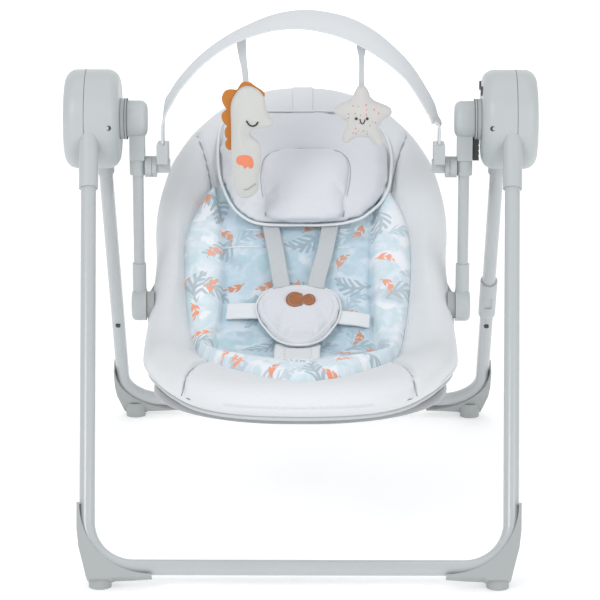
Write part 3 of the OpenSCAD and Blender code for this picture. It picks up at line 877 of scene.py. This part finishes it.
def carve(obj, line, width, depth, shoulder=0.0):
    """Presses a stitched line into the top of a soft piece lying on the seat."""
    mesh = obj.data
    n = len(mesh.vertices)
    co = np.zeros(n * 3)
    mesh.vertices.foreach_get("co", co)
    co = co.reshape(-1, 3)
    nr = np.zeros(n * 3)
    mesh.vertices.foreach_get("normal", nr)
    nr = nr.reshape(-1, 3)
    path = seat_point(line[:, 0], line[:, 1], line[:, 2])
    best = line_distance(co, path[:-1], path[1:]) * 1000
    up = seat_normal(line[:, 1].mean())
    facing = np.clip(nr @ up, 0, 1)
    g = np.exp(-(best / width) ** 2)
    wide = np.exp(-(best / (width * 4)) ** 2)
    co = co - up * ((depth * g - shoulder * wide * (1 - g)) * facing * MM)[:, None]
    mesh.vertices.foreach_set("co", co.ravel())
    mesh.update()


def refine(obj):
    sub = obj.modifiers.new("sub", "SUBSURF")
    sub.levels = 1
    sub.render_levels = 1
    bpy.ops.object.select_all(action="DESELECT")
    bpy.context.view_layer.objects.active = obj
    bpy.ops.object.modifier_apply(modifier=sub.name)
    obj.data.polygons.foreach_set("use_smooth", [True] * len(obj.data.polygons))


def laid_line(name, obj, pts, radius, mat):
    """A thread or piping that lies on the surface of a soft piece."""
    c = smooth_curve(np.array(pts, float), 40)
    h = np.array([height_on(obj, x, s) for x, s in c])
    h = np.convolve(np.pad(h, 2, mode="edge"), np.ones(5) / 5, "valid")
    return sweep(name, seat_point(c[:, 0], c[:, 1], h - radius * 0.4), circle_section(radius * MM, 8), mat, "seat")


# head pillow: a broad bib-shaped cushion with a raised centre cushion and a stitched rim
PILLOW = outline([
    (-2, 358), (38, 358), (67, 355), (91, 345), (108, 326), (116, 305), (119, 284), (118, 262), (116, 242),
    (111, 226), (103, 212), (92, 200), (79, 189), (66, 184), (50, 180), (24, 178), (-2, 178), (-28, 178),
    (-48, 179), (-64, 183), (-75, 190), (-87, 202), (-97, 220), (-106, 246), (-110, 270), (-111, 294),
    (-110, 319), (-105, 340), (-92, 353), (-69, 357), (-36, 358)
], 150)
pillow = seat_slab("head_pillow_ring", shrink(PILLOW, (4, 268), 1.0), 17, 27, pillow_cloth, "cloth_grey",
                   ("head_pillow",), voxel=0.005, cap=0.007)
CENTRE = outline([
    (-43, 181), (-46, 198), (-50, 222), (-52, 246), (-50, 265), (-46, 276), (-38, 282), (-26, 286), (-2, 288),
    (24, 288), (44, 285), (55, 279), (61, 268), (63, 254), (62, 238), (59, 220), (55, 198), (51, 182),
    (30, 177), (0, 176), (-24, 177)
], 110)
cushion = seat_slab("head_pillow_centre", shrink(CENTRE, (5, 232), 0.0), 26, 42, pillow_cloth, "cloth_grey", (),
                    voxel=0.0045, cap=0.006)
edge_loop = on_seat(PILLOW, 21.0)
sweep("head_pillow_piping", edge_loop, circle_section(2.0 * MM, 10), piping_cloth, "seat", closed=True)
inner = shrink(PILLOW, (4, 268), 9.5)
refine(pillow)
carve(pillow, np.column_stack([inner, np.full(len(inner), 33.0)]), 1.7, 2.6, 0.6)
refine(cushion)
rim_line = shrink(CENTRE, (5, 232), -1.5)
laid_line("cushion_seam", pillow, rim_line[rim_line[:, 1] > 184][::4], 0.8, thread_grey)
slot_line = smooth_curve(np.array([(-70, 348, 34), (-30, 352, 34), (10, 352, 34), (42, 350, 34)], float), 30)
carve(pillow, slot_line, 1.8, 3.0, 0.5)
laid_line("pillow_top_seam", pillow, [(-60, 349), (-30, 352), (10, 352), (42, 350)], 0.7, thread_grey)


def flat_strap(name, pts, width, thick, mat, stands_for=(), n=40):
    """Webbing along (x, run, height) points on the seat."""
    c = smooth_curve(np.array(pts, float), n)
    path = seat_point(c[:, 0], c[:, 1], c[:, 2])
    nrm = seat_path(c[:, 1])[1]
    tang = np.gradient(path, axis=0)
    tang /= np.linalg.norm(tang, axis=1)[:, None]
    up = np.stack([np.zeros(n), nrm[:, 0], nrm[:, 1]], 1)
    side = np.cross(up, tang)
    return sweep(name, path, strap_section(width * MM, thick * MM), mat, "seat", sides=side,
                 stands_for=stands_for)


tab_line = np.array([(1, q) for q in (352, 362, 372, 382, 392, 400, 406)], float)
tab_high = np.maximum(shell_top(tab_line), 0) + 0.7
flat_strap("pillow_tab", [(x, q, h) for (x, q), h in zip(tab_line, tab_high)], 27, 1.6, shell_cloth)
for side, tag in ((-1, "l"), (1, "r")):
    stand = ("harness_straps",) if side < 0 else ()
    lean = 0 if side < 0 else 3
    flat_strap("shoulder_strap_" + tag, [(side * (23 - lean) - 1, 80, 25), (side * (26 - lean) - 1, 100, 21),
                                         (side * 31 - 1, 135, 17), (side * 38 - 1, 176, 15.5),
                                         (side * 41 - 1, 200, 15.5)],
               21.5, 3.0, webbing_mat, stand)
flat_strap("waist_strap_l", [(-44, 50, 18), (-62, 50, 17), (-80, 50.5, 15.5), (-95, 52, 11)], 23, 2.8,
           piping_cloth)
flat_strap("waist_strap_r", [(38, 42, 18), (54, 40, 17), (70, 39, 15.5), (88, 38, 11)], 20, 2.8,
           piping_cloth)

# harness slits stitched in the back panel
for k, (x0, x1, s) in enumerate([(-73, -52, 179), (50, 60, 179), (-100, -48, 152), (46, 66, 152)]):
    pts = np.linspace((x0, s), (x1, s), 12)
    sweep("harness_slit_%d" % k, on_seat(pts, insert_top(pts) + 0.6),
          strap_section(3.4 * MM, 1.4 * MM), piping_cloth, "seat")

# crotch pad: a shield that folds down over the crease, with pleats, stitched edge and leather patch
CROTCH = outline([
    (-2, 85), (19, 84), (34, 80), (46, 70), (51, 54), (48, 36), (39, 14), (29, -10), (14, -38), (-2, -45),
    (-18, -38), (-33, -10), (-43, 14), (-53, 36), (-57, 54), (-51, 70), (-39, 80), (-23, 84)
], 110)
flat_strap("crotch_strap_web",
           [(-3, -20, 14), (-4, -45, 14), (-4, -75, 13.5), (-4, -100, 15), (-4, -118, 18)], 58, 3.2,
           piping_cloth, ("crotch_strap",))
flat_strap("crotch_strap_patch", [(-3, -48, 16.0), (-3, -70, 15.6), (-3, -92, 16.4), (-3, -112, 18.6)], 34, 2.0,
           shell_cloth)
crotch = seat_slab("crotch_pad_soft", shrink(CROTCH, (-3, 40), 0.5), 16, 27, pillow_cloth, "cloth_grey",
                   ("crotch_pad",), voxel=0.0042, cap=0.0065)
edge_loop = on_seat(CROTCH, 20.5)
sweep("crotch_pad_piping", edge_loop, circle_section(1.6 * MM, 10), piping_cloth, "seat", closed=True)
refine(crotch)
PLEATS = [[(-37, -2), (-33, 6), (-27, 13)], [(-24, -20), (-19, -9), (-15, 3)], [(32, -2), (28, 6), (22, 13)],
          [(19, -20), (15, -9), (11, 3)]]
for pleat in PLEATS:
    line = smooth_curve(np.array(pleat, float), 16)
    carve(crotch, np.column_stack([line, np.full(16, 30.0)]), 1.8, 2.4, 0.5)
hem = shrink(CROTCH, (-3, 40), 8.0)
carve(crotch, np.column_stack([hem, np.full(len(hem), 29.0)]), 1.5, 1.6, 0.3)


def patch_plate(name, cx, cs, loop, h, thick, mat, stands_for=(), bevel=0.6):
    """A thin stitched plate lying on the seat, with rounded edges."""
    p, run, up = seat_frame_at(cx, cs, h)
    side = np.array([1.0, 0, 0])
    verts, faces = [], []
    n = len(loop)
    layers = [(0.0, bevel), (thick * 0.35, 0.0), (thick * 0.8, 0.05), (thick, bevel)]
    c = loop.mean(0)
    for z, inset in layers:
        for q in loop:
            d = q - c
            q2 = c + d * (1 - inset / max(np.linalg.norm(d), 1e-6))
            verts.append(p + side * q2[0] * MM + run * q2[1] * MM + up * z * MM)
    faces += ring_faces(n, len(layers))
    top = (len(layers) - 1) * n
    inner = len(verts)
    for q in loop:
        q2 = c + (q - c) * 0.5
        verts.append(p + side * q2[0] * MM + run * q2[1] * MM + up * (thick + 0.25) * MM)
    for j in range(n):
        faces.append((top + j, top + (j + 1) % n, inner + (j + 1) % n, inner + j))
    faces.append(tuple(inner + j for j in range(n)))
    faces.append(tuple(range(n))[::-1])
    return add_object(name, verts, faces, mat, "seat", stands_for)


def stitches(name, points, normals, length, gap, radius, mat, body):
    """Short thread stitches along a line of points in metres."""
    run = np.concatenate([[0], np.cumsum(np.linalg.norm(np.diff(points, axis=0), axis=1))])
    verts, faces = [], []
    t = 0.0
    k = 6
    while t + length < run[-1]:
        ends = []
        for q in np.linspace(t, t + length, 5):
            ends.append([np.interp(q, run, points[:, i]) for i in range(3)])
        ends = np.array(ends)
        up = np.array([np.interp(t, run, normals[:, i]) for i in range(3)])
        lift = np.array([-0.4, 0.5, 0.8, 0.5, -0.4]) * radius
        tang = ends[-1] - ends[0]
        tang /= np.linalg.norm(tang)
        side = np.cross(up, tang)
        side /= np.linalg.norm(side)
        base = len(verts)
        for i in range(5):
            for j in range(k):
                a = 2 * math.pi * j / k
                verts.append(ends[i] + up * (lift[i] + radius * math.sin(a)) + side * radius * math.cos(a))
        faces += ring_faces(k, 5, base)
        faces.append(tuple(base + j for j in range(k))[::-1])
        faces.append(tuple(base + 4 * k + j for j in range(k)))
        t += length + gap
    return add_object(name, verts, faces, mat, body)


# leather patch: two joined discs with a stitched edge
theta = np.linspace(0, 2 * math.pi, 64, endpoint=False)
blob = []
for a in theta:
    d = np.array([math.cos(a), math.sin(a)])
    best = 0
    for cx, r in ((-7.5, 11.4), (10.5, 8.4)):
        b = d[0] * cx
        disc = b * b - cx * cx + r * r
        if disc > 0:
            best = max(best, b + math.sqrt(disc))
    best = max(best, 9.0 if abs(d[0]) < 0.35 else 0)
    blob.append(d * best)
blob = outline(blob[::2], 72)
bpy.context.view_layer.update()
patch_h = max(height_on(crotch, x, q) for x in (-12, 1, 14) for q in (48, 56, 62))
patch_plate("crotch_patch_leather", 0, 56, blob, patch_h - 0.8, 2.0, leather_mat, ("crotch_patch",))
p0, run0, up0 = seat_frame_at(0, 56, patch_h + 1.3)
ring = np.array([p0 + np.array([1.0, 0, 0]) * q[0] * 0.84 * MM + run0 * q[1] * 0.84 * MM for q in blob])
stitches("crotch_patch_stitch", np.vstack([ring, ring[:1]]), np.repeat(up0[None], len(ring) + 1, 0), 1.9 * MM,
         1.0 * MM, 0.33 * MM, thread_grey, "seat")

# ------------------------------------------------------------------ toys

TOY_Y = 0.0123


def toy_slab(name, shape, thick, mat, body, slot, stands_for, inset, **sim):
    """A stuffed flat toy in the XZ plane from an outline in millimetres."""
    loop = np.asarray(shape, float)
    loop = loop - outline_normals(loop) * inset
    lo = np.stack([loop[:, 0] * MM, np.full(len(loop), TOY_Y - thick * MM / 2), loop[:, 1] * MM], 1)
    hi = lo + np.array([0, thick * MM, 0])
    verts, faces = slab_mesh(lo, hi)
    obj = add_object(name, verts, faces, mat, body, stands_for)
    inflate(obj, np.array([0.0, 1.0, 0.0]), **sim)
    return obj


STAR = outline([
    (77, 544), (72, 541), (68.5, 534), (65, 527), (58.5, 521), (47, 517), (41, 512), (42, 505), (48, 501.5),
    (56, 496), (57.5, 490), (54, 482), (51, 473), (52, 467), (59, 465), (65, 470), (72.7, 474), (80, 474),
    (88, 471.5), (95.5, 465), (101, 461.5), (106, 463), (107, 469), (103, 478), (100.6, 486), (102, 492.5),
    (109, 499), (115.7, 503), (117, 509), (112, 514.5), (103, 518), (94, 522), (89, 526), (86.4, 534),
    (82, 541)
], 170)
FACE = (78.3, 500.0)
ivory_star = fur("plush_star", (0.62, 0.61, 0.59), speckle=near_point((FACE[0] * MM, TOY_Y - 0.012, FACE[1] * MM),
                                                                     0.023))
star = toy_slab("star_plush", STAR, 16, ivory_star, "star_toy", "plush_ivory", ("star",), inset=0.3, voxel=0.0036,
                cap=0.008)
HORSE = outline([
    (-70, 542), (-62, 540), (-53, 535), (-47, 527), (-44.3, 517), (-43, 508), (-40.5, 502.6), (-35, 498),
    (-32.5, 493.8), (-36, 490), (-44, 488), (-53, 486), (-62, 483), (-66, 479), (-64, 475), (-57, 471.5),
    (-51, 464), (-49.6, 453), (-51, 440), (-52, 431), (-54.5, 421), (-53.8, 410), (-56, 402.5), (-62.6, 397),
    (-70, 393.4), (-78, 394.6), (-84, 401), (-87, 413), (-88, 427), (-89, 443), (-89.7, 460), (-89.6, 479),
    (-90, 499), (-90.6, 511.6), (-88.7, 522), (-83.6, 532), (-77, 539)
], 200)
horse = toy_slab("seahorse_plush", HORSE, 19, ivory_mat, "seahorse_toy", "plush_ivory", ("seahorse",), inset=0.0,
                 voxel=0.004, cap=0.008)


def front_of(obj, x, z):
    """The nearest surface of a toy toward the front at (x, z) in metres."""
    hit = obj.ray_cast(Vector((x, -0.5, z)), Vector((0, 1, 0)))
    return hit[1].y if hit[0] else TOY_Y - 0.012


def decal(name, host, shape, thick, mat, body):
    """A felt shape lying on the front of a toy."""
    loop = outline(shape, 72)
    c = loop.mean(0)
    verts, faces = [], []
    n = len(loop)
    rings = [1.0, 0.985, 0.93, 0.7, 0.35]
    out = [-0.9, 0.25, 0.55, 0.6, 0.6]
    for q, o in zip(rings, out):
        for p in loop:
            x, z = c + (p - c) * q
            verts.append((x * MM, front_of(host, x * MM, z * MM) - o * thick * MM, z * MM))
    faces += ring_faces(n, len(rings))
    last = (len(rings) - 1) * n
    middle = front_of(host, c[0] * MM, c[1] * MM)
    verts.append((c[0] * MM, middle - 0.6 * thick * MM, c[1] * MM))
    for j in range(n):
        faces.append((last + j, last + (j + 1) % n, len(verts) - 1))
    back = len(verts)
    for p in loop:
        verts.append((p[0] * MM, front_of(host, p[0] * MM, p[1] * MM) + 1.2 * MM, p[1] * MM))
    for j in range(n):
        faces.append((j, back + j, back + (j + 1) % n, (j + 1) % n))
    verts.append((c[0] * MM, middle + 1.2 * MM, c[1] * MM))
    for j in range(n):
        faces.append((back + (j + 1) % n, back + j, len(verts) - 1))
    return add_object(name, verts, faces, mat, body)


def thread_line(name, host, points, radius, mat, body):
    pts = smooth_curve(np.asarray(points, float), 24)
    path = np.array([(x * MM, front_of(host, x * MM, z * MM) - radius * 0.5 * MM, z * MM) for x, z in pts])
    return sweep(name, path, circle_section(radius * MM, 8), mat, body)


def felt_sheet(name, shape, y0, thick, n, mat, body, stands_for):
    """A flat cut felt shape standing in the XZ plane, with softened edges."""
    loop = outline(shape, n)
    nrm = outline_normals(loop)
    verts, faces = [], []
    steps = [(0.7, 0.0), (0.15, 0.12), (0.0, 0.5), (0.15, 0.88), (0.7, 1.0)]
    for inset, w in steps:
        for q, d in zip(loop, nrm):
            r = q - d * inset
            verts.append((r[0] * MM, y0 + w * thick * MM, r[1] * MM))
    faces += ring_faces(n, len(steps))
    faces.append(tuple(range(n))[::-1])
    faces.append(tuple((len(steps) - 1) * n + j for j in range(n)))
    obj = add_object(name, verts, faces, mat, body, stands_for)
    obj.data.polygons[len(faces) - 1].use_smooth = False
    obj.data.polygons[len(faces) - 2].use_smooth = False
    return obj


# seahorse: felt mane in scallops behind the head and down the back, coral belly, stitched face
MANE = [
    (-67, 545.5), (-72, 546), (-76, 544), (-80, 538), (-82, 535.5), (-89, 536), (-96.5, 534), (-100.5, 527),
    (-100.6, 520.7), (-98, 514.3), (-95, 510.4), (-97.5, 508), (-101, 504), (-101, 497.4), (-97.5, 491),
    (-94.4, 488.3), (-96, 485.7), (-97.6, 480.5), (-96.5, 474), (-94.3, 471.4), (-96.8, 467.5), (-96.5, 462.3),
    (-93.3, 457.8), (-89.5, 457), (-83, 459.7), (-82.9, 496), (-80, 522), (-69.9, 534), (-55, 533.5),
    (-48, 525), (-46, 530), (-50.8, 535.4), (-58.5, 540.5), (-64, 544.6)
]
felt_sheet("seahorse_mane_felt", MANE, TOY_Y - 0.0015, 3.4, 190, felt_mat, "seahorse_toy",
           ("seahorse_mane",))
decal("seahorse_belly", horse, [(-82.7, 447.2), (-80.1, 451.8), (-73.8, 453.7), (-67.4, 453.1), (-62.3, 449.8),
                                (-60.4, 443.3), (-61.1, 436.8), (-64.9, 435.5), (-67.5, 438.2), (-71.3, 435.5),
                                (-74.6, 439.6), (-78.9, 440.4), (-82.1, 442.7)], 1.2, coral_mat, "seahorse_toy")
thread_line("seahorse_eye", horse, [(-69.1, 498), (-65.9, 492.6), (-61.5, 490.3), (-57.1, 492), (-54.5, 496)], 1.0,
            thread_dark, "seahorse_toy")
thread_line("seahorse_fold", horse, [(-72.7, 407.4), (-67.6, 408.3), (-62.5, 412), (-57.3, 415.3)], 0.8,
            thread_grey, "seahorse_toy")
thread_line("star_smile", star, [(75.1, 500), (76.2, 495.6), (78.3, 493.7), (80.5, 495.8), (81.4, 499.3)], 0.7,
            thread_dark, "star_toy")
for k, ex in enumerate((70.3, 84.3)):
    decal("star_eye_%d" % k, star, [(ex + 1.9 * math.cos(a), 500.3 + 1.9 * math.sin(a)) for a in
                                    np.linspace(0, 6.28, 12, endpoint=False)], 1.4, dark_mat, "star_toy")


def toy_strap(name, points, width, widths, body, stands_for):
    """Ribbon that hangs from the band, wider where it loops over."""
    c = smooth_curve(np.array([(x * MM, TOY_Y + y * MM, z * MM) for x, y, z in points]), 40)
    k = np.interp(np.linspace(0, 1, 40), np.linspace(0, 1, len(widths)), widths)
    return sweep(name, c, strap_section(width * MM, 1.9 * MM), webbing_mat, body, sides=(1.0, 0, 0),
                 stands_for=stands_for, scale=np.stack([k, np.ones(40)], 1))


toy_strap("seahorse_strap_web", [(-69.5, 0, 534), (-71, 0, 558), (-73.6, 0, 575), (-75.2, 0, 590), (-75.8, 0, 606)], 8,
          [1, 1, 1, 1.25, 1.5, 1.5], "seahorse_toy", ("seahorse_strap",))
toy_strap("star_strap_web", [(77, 0, 538), (77, 0, 560), (76.8, 0, 580), (76.5, 0, 592), (76.3, 0, 602)], 7.4,
          [1.0, 0.9, 0.9, 0.95, 1.6, 1.7], "star_toy", ("star_strap",))

# ------------------------------------------------------------------ toy band

LEAN = math.radians(4)
BRACKET_H = 438


def bar_point(x, y, z):
    """Band frame to row frame, in metres."""
    return (x * MM, (y * math.cos(LEAN) + z * math.sin(LEAN)) * MM,
            (BRACKET_H + z * math.cos(LEAN) - y * math.sin(LEAN)) * MM)


REAR = [
    (-173, 518), (-168, 527), (-155, 547), (-129, 575), (-97, 599), (-65, 616), (-33, 628.5), (-1, 634),
    (30, 632), (62, 624), (94, 607), (126, 579), (145.5, 556), (165, 524), (171, 510)
]
FRONT = [
    (-170, 510), (-166, 517), (-153, 539), (-127, 568), (-96, 592), (-64, 606.5), (-33, 614.7), (-1, 616.7),
    (30, 612), (62, 601.5), (93.5, 584), (125, 560), (144, 537), (163.5, 504), (169, 492)
]
rails = []
for pts, y_mid, y_end in ((REAR, 33, 27), (FRONT, -8, -14)):
    low = [bar_point(-176, y_end - 7, 14), bar_point(-176, y_end - 7, 30), bar_point(-175.8, y_end - 4, 52)]
    high = [bar_point(175.8, y_end - 4, 52), bar_point(176, y_end - 7, 30), bar_point(176, y_end - 7, 14)]
    mid = [(x * MM, (y_mid if abs(x) < 150 else (y_mid + y_end) / 2) * MM, z * MM) for x, z in pts]
    rails.append(smooth_curve(np.array(low + mid + high), 130))
rear_rail, front_rail = rails
band_mid = (rear_rail + front_rail) / 2
band_side = rear_rail - front_rail
band_wide = np.linalg.norm(band_side, axis=1)
band_profile = []
for w, t in ((-0.98, -1.2), (-0.90, -1.45), (-0.86, -0.85), (-0.82, -1.3), (0, -1.6), (0.82, -1.3), (0.86, -0.85),
             (0.90, -1.45), (0.98, -1.2), (1.0, 0), (0.98, 1.2), (0.90, 1.45), (0.86, 0.85), (0.82, 1.3), (0, 1.6),
             (-0.82, 1.3), (-0.86, 0.85), (-0.90, 1.45), (-0.98, 1.2), (-1.0, 0)):
    band_profile.append((w, t * MM))
sweep("toy_band_cloth", band_mid, band_profile, band_mat, "toy_bar", sides=band_side,
      stands_for=("toy_band",), scale=np.stack([band_wide / 2, np.ones(len(band_wide))], 1))

# ------------------------------------------------------------------ CAD pieces kept as they are

SOLID = {
    "shell_grey": shell_mat, "tube_grey": tube_mat, "shoe_grey": shoe_mat, "button_dark": dark_mat,
    "board_green": board_mat, "coil_copper": copper_mat, "cell_jacket": cell_mat, "steel": steel_mat,
    "seat_tube": frame_mat,
}
PLAIN = {
    "shell_grey": ("hub_outer_l", "hub_outer_r", "hub_inner_l", "hub_inner_r", "front_socket_l", "front_socket_r",
                   "rear_knuckle_l", "rear_knuckle_r", "leg_sleeve", "arm_head_l", "arm_head_r", "pivot_housing_l",
                   "pivot_housing_r", "toy_bracket_l", "toy_bracket_r", "toy_socket_l", "toy_socket_r",
                   "battery_door"),
    "tube_grey": ("front_leg_l", "front_leg_r", "front_base", "rear_leg_l", "rear_leg_r", "rear_base", "arm_tube_l",
                  "arm_tube_r"),
    "shoe_grey": ("front_foot_l", "front_foot_r", "rear_foot_l", "rear_foot_r", "lock_button_l", "lock_button_r",
                  "hinge_plate_l", "hinge_plate_r"),
    "button_dark": ("power_button", "speed_button", "snap_l", "snap_r", "arm_trigger"),
    "board_green": ("control_board",), "coil_copper": ("drive_coil",), "cell_jacket": ("battery_cells",),
    "steel": ("axle_l", "axle_r"), "seat_tube": ("seat_frame",),
}
for slot_name, names in PLAIN.items():
    for item in names:
        obj = nodes[item]
        obj.data.materials.clear()
        obj.data.materials.append(SOLID[slot_name])
for item in ("front_foot_l", "front_foot_r", "rear_foot_l", "rear_foot_r"):
    edge = nodes[item].modifiers.new("edge", "BEVEL")
    edge.width = 0.004
    edge.segments = 4
    edge.limit_method = "ANGLE"
    edge.angle_limit = math.radians(50)

# ------------------------------------------------------------------ small hardware details


# height of the hub axis, its seams, screws and the depth of a screw's recess
HUB_H = 500
HUB_SEAM = 272
INNER_SEAM = 243
SCREW_X = 240.5
DISC_DEPTH = 0.48


def shaded_screw_hole(name, x, y, z, normal, r, body):
    """A recessed screw: a ring-lipped cup with a stepped floor, near black as painted shade in the hole."""
    nrm = Vector(normal).normalized()
    side = nrm.orthogonal().normalized()
    up = nrm.cross(side)
    c = Vector((x, y, z)) * MM
    verts, faces = [], []
    prof = [(1.25, 0.0), (1.2, 0.35), (1.0, 0.4), (0.92, -0.2), (0.9, -0.6), (0.55, -0.5), (0.5, -0.8), (0.0, -0.8)]
    n = 28
    for q, h in prof[:-1]:
        for j in range(n):
            a = 2 * math.pi * j / n
            verts.append(c + (side * math.cos(a) + up * math.sin(a)) * q * r * MM + nrm * (h * DISC_DEPTH + 0.2) * MM)
    faces += ring_faces(n, len(prof) - 1)
    verts.append(c + nrm * (-0.8 * DISC_DEPTH + 0.2) * MM)
    for j in range(n):
        faces.append(((len(prof) - 2) * n + j, (len(prof) - 2) * n + (j + 1) % n, len(verts) - 1))
    verts.append(c - nrm * 1.5 * MM)
    for j in range(n):
        faces.append(((j + 1) % n, j, len(verts) - 1))
    # the cup is coloured near black: painted shade in the screw hole
    return add_object(name, verts, faces, dark_mat, body)


def hub_ring(name, x, r, body, radius):
    """A groove line round a hub, lying on its rim."""
    t = np.linspace(0, 2 * math.pi, 90)
    pts = np.stack([np.full(90, x), r * np.cos(t), HUB_H + r * np.sin(t)], 1) * MM
    return sweep(name, pts[:-1], circle_section(radius * MM, 6), seam_mat, body, closed=True)


for side, tag in ((-1, "l"), (1, "r")):
    hub_ring("hub_seam_" + tag, side * HUB_SEAM, 63.0, "frame", 0.4)
    hub_ring("hub_inner_line_" + tag, side * INNER_SEAM, 61.9, "frame", 0.3)
    for place, sign in (("front", -1), ("back", 1)):
        shaded_screw_hole("hub_screw_%s_%s" % (place, tag), side * SCREW_X, sign * 62.4, HUB_H, (0, sign, 0), 2.6, "frame")
    for k, x in enumerate((220.5, 223.5)):
        hub_ring("arm_head_groove_%s_%d" % (tag, k), side * x, 26.0, "swing", 0.5)

# ------------------------------------------------------------------ camera, floor and light

# camera: yaw and downward tilt, run from the middle of the part and height, in metres
YAW = math.radians(0.4)
TILT = math.radians(14.5)
CAM_RUN = 3.7498
CAM_RISE = 1.232
cam_data = bpy.data.cameras.new("camera")
cam_data.lens = 180
cam_data.sensor_width = 36
cam_data.clip_end = 60
cam_data.shift_x = -0.0015
cam = bpy.data.objects.new("camera", cam_data)
scene.collection.objects.link(cam)
cam.location = (CAM_RUN * math.sin(YAW), -CAM_RUN * math.cos(YAW), CAM_RISE)
cam.rotation_euler = (math.radians(90) - TILT, 0, YAW)
scene.camera = cam


def stage_mesh(name, verts, faces, mat):
    mesh = bpy.data.meshes.new(name)
    mesh.from_pydata(verts, [], faces)
    obj = bpy.data.objects.new(name, mesh)
    scene.collection.objects.link(obj)
    mesh.materials.append(mat)
    mesh.polygons.foreach_set("use_smooth", [True] * len(mesh.polygons))
    return obj


floor_mat = Mat("floor_pale")
floor_cloud = floor_mat.noise(floor_mat.mapped(1.0), 3, 2)
floor_tone = floor_mat.mix(floor_cloud, (0.93, 0.93, 0.93), (0.95, 0.95, 0.95))
floor_mat = floor_mat.surface(floor_tone, 0.9, Emission_Color=(1, 1, 1, 1), Emission_Strength=0.22)
arc = [(-6.0, 0.0), (6.0, 0.0)] + [(6.0 + 3.0 * math.sin(a), 3.0 - 3.0 * math.cos(a)) for a in
                                   np.linspace(0.1, math.pi / 2, 12)] + [(9.0, 9.0)]
verts = [(x, y, z) for y, z in arc for x in (-9.0, 9.0)]
faces = [(2 * i, 2 * i + 1, 2 * i + 3, 2 * i + 2) for i in range(len(arc) - 1)]
stage_mesh("floor", verts, faces, floor_mat)


def area_light(name, place, aim, size, power):
    data = bpy.data.lights.new(name, "AREA")
    data.shape = "DISK"
    data.size = size
    data.energy = power
    obj = bpy.data.objects.new(name, data)
    scene.collection.objects.link(obj)
    obj.location = place
    obj.rotation_euler = (Vector(aim) - Vector(place)).to_track_quat("-Z", "Y").to_euler()
    return obj


area_light("key", (-1.9, -2.6, 2.4), (0, 0, 0.3), 1.6, 38)
area_light("fill", (2.4, -2.4, 1.6), (0, 0, 0.3), 2.2, 24)
area_light("top", (0.2, 0.4, 3.4), (0, 0, 0.3), 2.4, 12)
area_light("back_wash", (0, 3.0, 2.4), (0, 7.0, 1.2), 2.5, 90)

world = bpy.data.worlds.new("studio")
world.use_nodes = True
world.node_tree.nodes["Background"].inputs[0].default_value = (0.97, 0.98, 1.0, 1)
world.node_tree.nodes["Background"].inputs[1].default_value = 0.72
scene.world = world
scene.view_settings.view_transform = "Standard"
scene.view_settings.look = "None"
